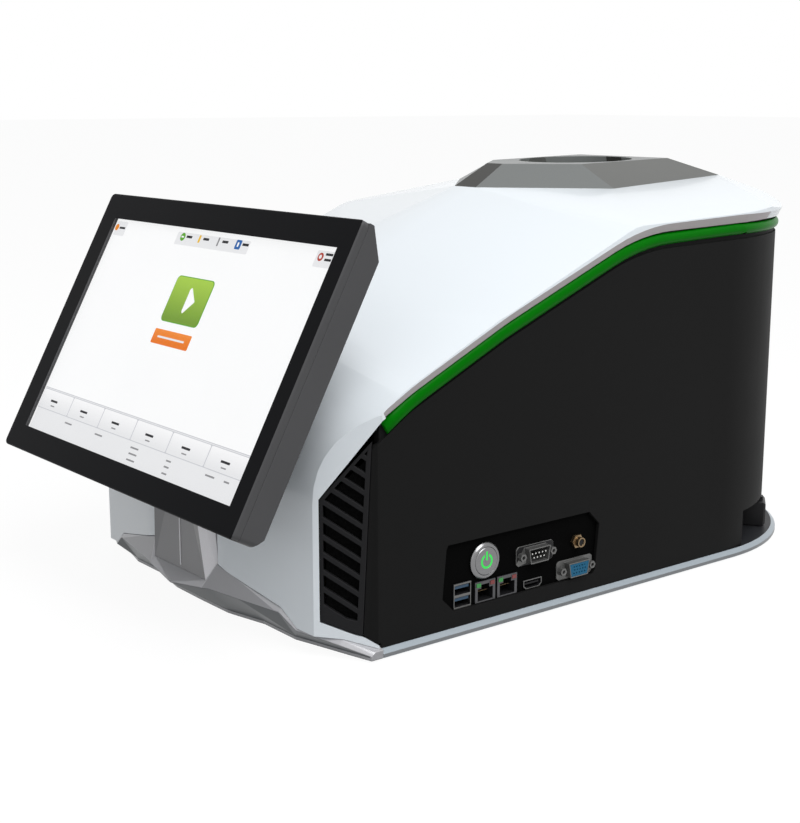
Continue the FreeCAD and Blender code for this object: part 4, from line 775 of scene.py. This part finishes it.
@dataclass
class ConnectorPanel(Assembly):
    """Connector plate with its sockets, power button, lamps and contacts."""

    jack_first: float = -90.417 * MM
    jack_pitch: float = 17.6 * MM
    jack_z: float = 22.8 * MM
    jack_mouth: float = 145.4 * MM
    wires: int = 8
    wire_pitch: float = 1.02 * MM
    serial_z: float = 38.4 * MM
    shell_half: float = 1.0 * MM
    insert_area: float = 2e-5
    tongue_under: float = -0.5
    jack_inset: float = 0.6 * MM
    usb_inset: float = 0.8 * MM
    hdmi_inset: float = 1.0 * MM
    radio_face: Place = (3.4 * MM, 3.9 * MM)
    wire_root: float = 9.6 * MM
    wire_rise: float = 1.6 * MM
    wire_size: Point = (1.2 * MM, 0.36 * MM, 0.4 * MM)
    wire_slope: Point = (4.6 * MM, 0.0, -2.2 * MM)
    wire_tip: Point = (0.9 * MM, 0.0, 0.5 * MM)

    def __post_init__(self) -> None:
        """Set the finishes."""
        self.softened = {
            "port_plate": (PLATE_BLACK, Softness(0.25 * MM)),
            "button_bezel": (BUTTON_STEEL, Softness(0.25 * MM)),
            "serial_socket": (SOCKET_STEEL, Softness(0.25 * MM)),
            "video_socket": (SOCKET_STEEL, Softness(0.25 * MM)),
            "jackscrews": (SOCKET_STEEL, Softness(0.15 * MM)),
            "radio_jack": (GILT, Softness(0.12 * MM)),
            "network_jacks": (JACK_GREY, Softness(0.2 * MM)),
            "usb_stack": (SOCKET_STEEL, Softness(0.12 * MM)),
            "hdmi_socket": (SOCKET_STEEL, Softness(0.1 * MM)),
            "video_insert": (INSERT_BLUE, Softness()),
            "usb_tongues": (USB_BLUE, Softness(0.1 * MM)),
            "jack_lights": (LAMP_GREEN, Softness(0.08 * MM)),
            "inlet_bracket": (SOCKET_BLACK, Softness(0.4 * MM)),
            "power_inlet": (SOCKET_BLACK, Softness(0.3 * MM)),
        }
        self.kept = {"serial_pins": PIN_SILVER}

    def build(self) -> None:
        """Darken the insides of the sockets, partly as painted shade, colour the lamps and add the
        spring contacts.
        """
        self._insides()
        for jack in range(2):
            middle = self.jack_first + self.jack_pitch * jack
            wires = [self._wire(middle + (k - (self.wires - 1) / 2) * self.wire_pitch)
                     for k in range(self.wires)]
            piece = Bench.joined(f"network_contacts_{jack + 1}", wires)
            Bench.finished(piece, GILT, self.body, "serial_pins")

    def _insides(self) -> None:
        """Black insulators in the metal shells, painted shade over the shells' inner walls and the radio
        jack's hollow floor, red second lamps and pale undersides of the tongues.
        """
        mouth = self.jack_mouth
        Bench.part_finish("serial_socket_dressed", SOCKET_BLACK,
                          lambda face: face.normal.x > STRAIGHT and face.center.x < mouth
                          and face.area > self.insert_area
                          and abs(face.center.z - self.serial_z) < self.shell_half)
        Bench.part_finish("network_jacks_dressed", SOCKET_BLACK,
                          lambda face: face.center.x < mouth - self.jack_inset)
        Bench.part_finish("usb_stack_dressed", SOCKET_BLACK,
                          lambda face: face.center.x < mouth - self.usb_inset)
        Bench.part_finish("hdmi_socket_dressed", SOCKET_BLACK,
                          lambda face: face.center.x < mouth - self.hdmi_inset)
        low, high = (mouth + reach for reach in self.radio_face)
        # Painted shade: the floor of the radio jack's hollow coloured black.
        Bench.part_finish("radio_jack_dressed", SOCKET_BLACK,
                          lambda face: face.normal.x > STRAIGHT and low < face.center.x < high)
        Bench.part_finish("usb_tongues_dressed", TONGUE_WHITE,
                          lambda face: face.normal.z < self.tongue_under)
        first, pitch = self.jack_first, self.jack_pitch
        Bench.part_finish("jack_lights_dressed", LAMP_RED,
                          lambda face: first < face.center.y < first + pitch / 2
                          or face.center.y > first + pitch)

    def _wire(self, y: float) -> bpy.types.Object:
        """One slanting spring contact, extruded forward and down from its root.

        Args:
            y: Its place across the socket.

        Returns:
            The contact.
        """
        length, width, thick = self.wire_size
        back = self.jack_mouth - self.wire_root
        roof = self.jack_z + self.wire_rise
        wire = Bench.block("wire", (back, y - width / 2, roof - thick),
                           (back + length, y + width / 2, roof))
        bpy.ops.object.mode_set(mode="EDIT")
        bpy.ops.mesh.select_all(action="DESELECT")
        bpy.ops.mesh.select_mode(type="FACE")
        bpy.ops.object.mode_set(mode="OBJECT")
        for face in wire.data.polygons:
            face.select = face.normal.x > STRAIGHT
        bpy.ops.object.mode_set(mode="EDIT")
        bpy.ops.mesh.extrude_region_move(TRANSFORM_OT_translate={"value": self.wire_slope})
        bpy.ops.mesh.extrude_region_move(TRANSFORM_OT_translate={"value": self.wire_tip})
        bpy.ops.object.mode_set(mode="OBJECT")
        return wire


@dataclass
class PowerButton(Assembly):
    """Moving cap of the power button with its lit symbol."""

    body: str = "button"

    def __post_init__(self) -> None:
        """Set the finishes."""
        self.softened = {"button_cap": (BUTTON_STEEL, Softness(0.15 * MM))}
        self.kept = {"button_light": LIT_GREEN}


@dataclass
class Column(Assembly):
    """Silver column that carries the screen, with its hinge pin."""

    # Size and place of a slim strip of painted highlight in the column's front crease.
    line_half: float = 0.45 * MM
    line_front: float = -214.0 * MM
    line_deep: float = 0.9 * MM
    line_low: float = 27.0 * MM
    line_high: float = 80.0 * MM
    line_edge: float = 0.22 * MM
    flank: float = 0.35

    def __post_init__(self) -> None:
        """Set the finishes."""
        # The whole column first takes the darker painted shade of its front.
        self.softened = {"screen_column": (COLUMN_FRONT_PAINTED_SHADE, Softness(0.5 * MM, 6.0, 14.0))}
        self.kept = {"hinge_pin": PIN_STEEL}

    def build(self) -> None:
        """Give the flanks of the column a painted light and set a bright strip of painted highlight in
        its front.
        """
        Bench.part_finish("screen_column_dressed", COLUMN_FLANK_PAINTED_LIGHT,
                          lambda face: abs(face.normal.x) > self.flank)
        # A slim bright strip of painted highlight along the crease.
        line = Bench.block("column_painted_highlight", (-self.line_half, self.line_front, self.line_low),
                           (self.line_half, self.line_front + self.line_deep, self.line_high))
        Bench.bevelled(line, Softness(self.line_edge))
        Bench.finished(line, COLUMN_FLANK_PAINTED_LIGHT, self.body, "screen_column")


@dataclass
class Fan(Assembly):
    """Rotor of the cooling fan."""

    body: str = "fan"

    def __post_init__(self) -> None:
        """Set the finish."""
        self.kept = {"fan_rotor": FAN_BLACK}


@dataclass
class TouchScreen(Assembly):
    """Tilting touch screen and the picture that it shows."""

    body: str = "screen"
    centre: Point = (0.0, -220.417 * MM, 166.7 * MM)
    lean: float = math.radians(28.4)
    left: float = -123.7 * MM
    right: float = 128.6 * MM
    bottom: float = -75.6 * MM
    top: float = 74.2 * MM
    lap: float = 1.9 * MM
    face: float = 3.3 * MM
    back: float = 5.0 * MM
    layer: float = 0.16 * MM
    tabs: int = 6
    tab_top: float = -48.2 * MM
    tab_bottom: float = -60.8 * MM
    fill: float = 0.96
    panel_edge: float = 0.2 * MM
    spot_edge: float = 0.03 * MM
    panel_rear: float = 0.3
    frame_side: float = 0.5
    start: Rect = (-20.4, 21.6, 14.5, 43.6)
    start_grade: Place = (14.7, 43.8)
    start_rim: float = 0.6
    settings: Rect = (-21.4, 21.6, -0.8, 8.7)
    settings_grade: Place = (-0.5, 8.6)
    settings_bar: Rect = (-15.6, 15.4, 3.3, 4.5)
    arrow_at: Place = (0.6, 29.2)
    arrow_half: float = 6.0
    arrow_cut: float = 1.4
    tool_bar: Rect = (-42.4, 41.0, 63.4, 71.8)
    tool_icons: tuple[tuple[str, Rect, float, Finish], ...] = (
        ("tool_icon_yellow", (-16.0, -14.0, 66.3, 71.3), 0.5, PICTURE_YELLOW),
        ("tool_icon_grey", (6.2, 7.6, 65.9, 71.5), 0.3, PICTURE_GREY),
        ("tool_icon_blue", (26.4, 32.2, 65.7, 71.7), 0.8, PICTURE_BLUE))
    tool_names: tuple[float, ...] = (-27.4, -7.4, 14.6, 37.0)
    corner_tiles: tuple[Rect, ...] = ((-123.6, -109.6, 63.4, 73.4), (109.0, 126.4, 62.4, 72.2))
    corner_spots: tuple[tuple[str, Place, float, int, Finish], ...] = (
        ("corner_icon_amber", (-121.7, 69.0), 2.3, 2, PICTURE_AMBER),
        ("corner_icon_red", (113.4, 68.4), 2.5, 2, PICTURE_RED),
        ("corner_icon_core", (113.4, 68.4), 1.2, 3, PICTURE_TILE))
    corner_bars: tuple[Rect, ...] = (
        (-118.0, -110.8, 68.2, 69.6), (117.4, 123.8, 69.6, 71.0), (117.8, 123.8, 66.4, 67.8))
    long_notes: tuple[Place, ...] = (
        (11.0, -64.8), (11.6, -68.5), (11.8, -72.3), (96.0, -64.6), (-34.8, -64.9), (-76.0, -64.9))
    short_notes: tuple[Place, ...] = ((51.2, -64.8), (51.4, -68.4), (51.8, -72.3), (113.2, -64.5))

    def __post_init__(self) -> None:
        """Set the finishes."""
        self.softened = {
            "screen_frame": (BEZEL_BLACK, Softness(0.4 * MM)),
            "screen_cover": (SCREEN_SIDE, Softness(0.4 * MM)),
            "screen_bracket": (BRACKET_STEEL, Softness(0.3 * MM)),
        }
        self.kept = {"screen_glass": SCREEN_GLASS, "screen_board": GREEN_BOARD}

    def build(self) -> None:
        """Give the frame's sides the grey of the cover and make the picture: panel, tiles, buttons,
        icons and bars.
        """
        low = (self.left - self.lap, self.face, self.bottom - self.lap)
        high = (self.right + self.lap, self.back, self.top + self.lap)
        blank = Bench.block("panel", low, high)
        Bench.bevelled(blank, Softness(self.panel_edge))
        panel = self._set("picture_panel", [blank], PICTURE_WHITE)
        Bench.part_finish("picture_panel", CHIP_BLACK, lambda face: face.normal.y > self.panel_rear)
        Bench.part_finish("screen_frame_dressed", SCREEN_SIDE,
                          lambda face: abs(face.normal.x) > self.frame_side)
        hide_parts("display_panel")
        self._buttons()
        self._toolbar()
        self._corners()
        self._tab_row()

    def _set(self, name: str, blanks: list[bpy.types.Object], finish: Finish) -> bpy.types.Object:
        """Lean upright blanks with the screen and finish them as one piece.

        Args:
            name: Name of the piece.
            blanks: Blanks about the middle of the screen's front face.
            finish: Their finish.

        Returns:
            The piece.
        """
        piece = Bench.joined(name, blanks)
        place = Matrix.Translation(Vector(self.centre)) @ Matrix.Rotation(-self.lean, 4, "X")
        piece.data.transform(place)
        return Bench.finished(piece, finish, self.body, "display_panel")

    def _tile(self, box: Rect, level: int, round_by: float) -> bpy.types.Object:
        """A thin tile with rounded corners on the picture.

        Args:
            box: Left, right, low and high edge in millimetres.
            level: Layer above the panel, from 1.
            round_by: Corner radius in millimetres.

        Returns:
            The tile.
        """
        x0, x1, z0, z1 = (edge * MM for edge in box)
        front = self.face - self.layer * level
        tile = Bench.block("tile", (x0, front, z0), (x1, front + self.layer * self.fill, z1))
        bpy.ops.object.mode_set(mode="EDIT")
        bpy.ops.mesh.select_all(action="DESELECT")
        bpy.ops.mesh.select_mode(type="EDGE")
        bpy.ops.object.mode_set(mode="OBJECT")
        corners = tile.data.vertices
        for edge in tile.data.edges:
            a, b = (corners[v].co for v in edge.vertices)
            edge.select = abs(a.y - b.y) > self.layer * 0.5
        bpy.ops.object.mode_set(mode="EDIT")
        bpy.ops.mesh.bevel(offset=round_by * MM, segments=5, affect="EDGES")
        bpy.ops.object.mode_set(mode="OBJECT")
        return tile

    def _spot(self, at: Place, radius: float, level: int) -> bpy.types.Object:
        """A thin round spot on the picture.

        Args:
            at: Its middle in millimetres, across and up.
            radius: Radius in millimetres.
            level: Layer above the panel.

        Returns:
            The spot.
        """
        middle = (at[0] * MM, self.face - self.layer * (level - 0.5), at[1] * MM)
        spot = Bench.disc("spot", middle, radius * MM, self.layer * self.fill, 24)
        Bench.bevelled(spot, Softness(self.spot_edge))
        return spot

    def _height(self, z: float) -> float:
        """Height in the row frame of a place on the screen, z in millimetres up from its middle."""
        return self.centre[2] + z * MM * math.cos(self.lean)

    def _graded(self, name: str, high: Colour, low: Colour, ends: Place, roughness: float = 0.4,
                glow: float = 0.94) -> GradedFinish:
        """A finish that grades between two places, in millimetres up the screen from its middle."""
        return GradedFinish(name, high, roughness, glow=glow, low=low,
                            bottom=self._height(ends[0]), top=self._height(ends[1]))

    def _buttons(self) -> None:
        """Large graded start button with its arrow and the smaller button under it."""
        x0, x1, z0, z1 = self.start
        rim = (x0 - self.start_rim, x1 + self.start_rim, z0 - self.start_rim, z1 + self.start_rim)
        leaf = self._graded("start_leaf", (0.40, 0.63, 0.07), (0.17, 0.32, 0.03), self.start_grade)
        self._set("start_rim", [self._tile(rim, 1, 3.4)], PICTURE_LEAF)
        self._set("start_button", [self._tile(self.start, 2, 3.0)], leaf)
        amber = self._graded("settings_amber", (0.90, 0.28, 0.04), (0.80, 0.18, 0.01),
                             self.settings_grade)
        self._set("settings_button", [self._tile(self.settings, 1, 1.0)], amber)
        self._set("start_arrow", [self._arrow()], PICTURE_WHITE)
        self._set("settings_line", [self._tile(self.settings_bar, 2, 0.1)], PICTURE_TILE)

    def _arrow(self) -> bpy.types.Object:
        """Arrow of the start button: a square tile on its corner, cut upright near its middle.

        Returns:
            The arrow.
        """
        x, z = self.arrow_at
        half = self.arrow_half
        arrow = self._tile((x - half, x + half, z - half, z + half), 3, 0.6)
        bpy.ops.object.mode_set(mode="EDIT")
        bpy.ops.mesh.select_all(action="SELECT")
        bpy.ops.transform.rotate(value=math.radians(45.0), orient_axis="Y",
                                 center_override=(x * MM, self.face, z * MM))
        bpy.ops.mesh.bisect(plane_co=((x - self.arrow_cut) * MM, 0.0, z * MM), plane_no=(1.0, 0.0, 0.0),
                            use_fill=True, clear_inner=True)
        bpy.ops.object.mode_set(mode="OBJECT")
        return arrow

    def _toolbar(self) -> None:
        """Tool tile with four icons and their label bars."""
        self._set("tool_tile", [self._tile(self.tool_bar, 1, 0.8)], PICTURE_TILE)
        self._set("tool_icon_green", [self._spot((-35.0, 68.7), 2.7, 2)], PICTURE_LEAF)
        for name, box, round_by, finish in self.tool_icons:
            self._set(name, [self._tile(box, 2, round_by)], finish)
        self._set("tool_check", [self._tile((-36.3, -33.7, 68.2, 69.2), 3, 0.1),
                                 self._tile((28.6, 30.0, 67.3, 70.1), 3, 0.3)], PICTURE_WHITE)
        bars = [self._tile((x - 3.2, x + 3.2, 68.4, 70.0), 2, 0.2) for x in self.tool_names]
        self._set("tool_labels", bars, PICTURE_INK)

    def _corners(self) -> None:
        """Small tiles in the two upper corners, with their icons and label bars."""
        self._set("corner_tiles", [self._tile(box, 1, 0.8) for box in self.corner_tiles], PICTURE_TILE)
        for name, at, radius, level, finish in self.corner_spots:
            self._set(name, [self._spot(at, radius, level)], finish)
        self._set("corner_labels", [self._tile(box, 2, 0.2) for box in self.corner_bars], PICTURE_INK)

    def _tab_row(self) -> None:
        """Row of tabs along the bottom, with label bars and status lines."""
        left, right = self.left / MM, self.right / MM
        low, high = self.tab_bottom / MM, self.tab_top / MM
        pitch = (right - left) / self.tabs
        band = (left, right, self.bottom / MM, high + 1.4)
        self._set("tab_band", [self._tile(band, 1, 0.1)], PICTURE_TILE)
        tabs, labels, notes = [], [], []
        for k in range(self.tabs):
            x = left + pitch * (k + 0.5)
            tabs.append(self._tile((x - pitch / 2 + 0.6, x + pitch / 2 - 0.6, low, high), 3, 1.0))
            labels.append(self._tile((x - 6.6, x + 2.4, -55.4, -54.0), 4, 0.2))
            notes.append(self._tile((x - 4.4, x + 0.6, -58.4, -57.6), 4, 0.1))
        self._set("tab_gaps", [self._tile((left, right, low - 0.5, high + 0.5), 2, 0.1)], PICTURE_EDGE)
        face = self._graded("tab_face", (0.95, 0.95, 0.96), (0.79, 0.795, 0.81), (low, high), 0.5, 0.97)
        self._set("tabs", tabs, face)
        self._set("tab_labels", labels, PICTURE_INK)
        for reach, places in ((4.6, self.long_notes), (2.6, self.short_notes)):
            notes += [self._tile((x - reach, x + reach, z - 0.5, z + 0.5), 2, 0.1) for x, z in places]
        self._set("status_lines", notes, PICTURE_GREY)
        self._set("tab_line", [self._tile((left, right, high + 1.0, high + 1.5), 2, 0.1)], PICTURE_EDGE)


@dataclass
class Studio:
    """Floor, world and lamps."""

    floor_reach: float = 40.0
    floor_glow: float = 1.17
    backdrop: float = 1.0
    world_light: float = 0.38
    overhead_power: float = 32.0
    fill_power: float = 4.0
    overhead_at: Point = (1.15, -0.1, 1.75)
    fill_at: Point = (0.9, -1.9, 1.1)
    overhead_size: float = 1.4
    fill_size: float = 1.8
    target: Point = (0.0, 0.0, 0.12)
    floor_share: float = 0.8
    floor_tone: float = 0.45
    sky: Colour = (0.96, 0.98, 1.0)

    def build(self) -> None:
        """Make the floor, the world and the lamps."""
        bpy.context.scene.view_settings.view_transform = "Standard"
        self._floor()
        self._world()
        self._lamp("overhead", self.overhead_at, self.overhead_size, self.overhead_power)
        self._lamp("front_fill", self.fill_at, self.fill_size, self.fill_power)

    def _floor(self) -> None:
        """Pale floor that shows near white to the camera and keeps the shadow."""
        Bench.clear()
        bpy.ops.mesh.primitive_plane_add(size=self.floor_reach, location=(0.0, 0.0, 0.0))
        floor = bpy.context.active_object
        floor.name = "floor"
        shader = Shader("floor_paint")
        tone = self.floor_tone
        paint = shader.node("ShaderNodeBsdfDiffuse", {}, {"Color": (tone, tone, tone, 1.0)})
        glow = shader.node("ShaderNodeEmission", {}, {"Color": WHITE, "Strength": self.floor_glow})
        parts = {0: self.floor_share * shader.seen(), 1: paint, 2: glow}
        shader.node_output(shader.node("ShaderNodeMixShader", {}, parts))
        floor.data.materials.append(shader.material)

    def _world(self) -> None:
        """Even light from all round, white where it is seen."""
        shader = Shader("studio", True)
        even = {"Color": (*self.sky, 1.0), "Strength": self.world_light}
        light = shader.node("ShaderNodeBackground", {}, even)
        white = shader.node("ShaderNodeBackground", {}, {"Color": WHITE, "Strength": self.backdrop})
        parts = {0: shader.seen(), 1: light, 2: white}
        shader.node_output(shader.node("ShaderNodeMixShader", {}, parts))
        bpy.context.scene.world = shader.material

    def _lamp(self, name: str, place: Point, size: float, power: float) -> None:
        """A square area lamp aimed at the middle of the object.

        Args:
            name: Name of the lamp.
            place: Where it hangs.
            size: Edge length.
            power: Power in watts.
        """
        lamp = bpy.data.lights.new(name, "AREA")
        lamp.shape = "SQUARE"
        lamp.size = size
        lamp.energy = power
        holder = bpy.data.objects.new(name, lamp)
        holder.location = place
        aim = Vector(self.target) - Vector(place)
        holder.rotation_euler = aim.to_track_quat("-Z", "Y").to_euler()
        bpy.context.scene.collection.objects.link(holder)


@dataclass
class Viewpoint:
    """Camera at the photograph's viewing angle."""

    place: Point = (0.7747, -0.6518, 0.3102)
    toward: Point = (-0.768, 0.606, -0.207)
    lens: float = 64.8
    sensor: float = 36.0
    near: float = 0.01

    def build(self) -> None:
        """Make the scene's camera."""
        data = bpy.data.cameras.new("camera")
        data.lens = self.lens
        data.sensor_width = self.sensor
        data.clip_start = self.near
        camera = bpy.data.objects.new("camera", data)
        camera.location = self.place
        camera.rotation_euler = Vector(self.toward).to_track_quat("-Z", "Y").to_euler()
        bpy.context.scene.collection.objects.link(camera)
        bpy.context.scene.camera = camera


def corners(box: tuple) -> list[list[float]]:
    """A box as plain lists.

    Args:
        box: Lowest and highest corner.

    Returns:
        The same as lists of numbers.
    """
    return [[float(v) for v in corner] for corner in box]


def main() -> None:
    """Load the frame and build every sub-assembly in order."""
    logging.basicConfig(level=logging.INFO, format="%(name)s: %(message)s")
    Bench.open()
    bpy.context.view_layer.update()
    Bench.clear()
    Viewpoint().build()
    for kind in (Housing, SamplePort, Interior, ConnectorPanel, PowerButton, Column, Fan, TouchScreen):
        assembly = kind()
        assembly.dress()
        assembly.build()
        LOG.info("%s done", kind.__name__)
    Studio().build()


if __name__ == "__main__":
    main()
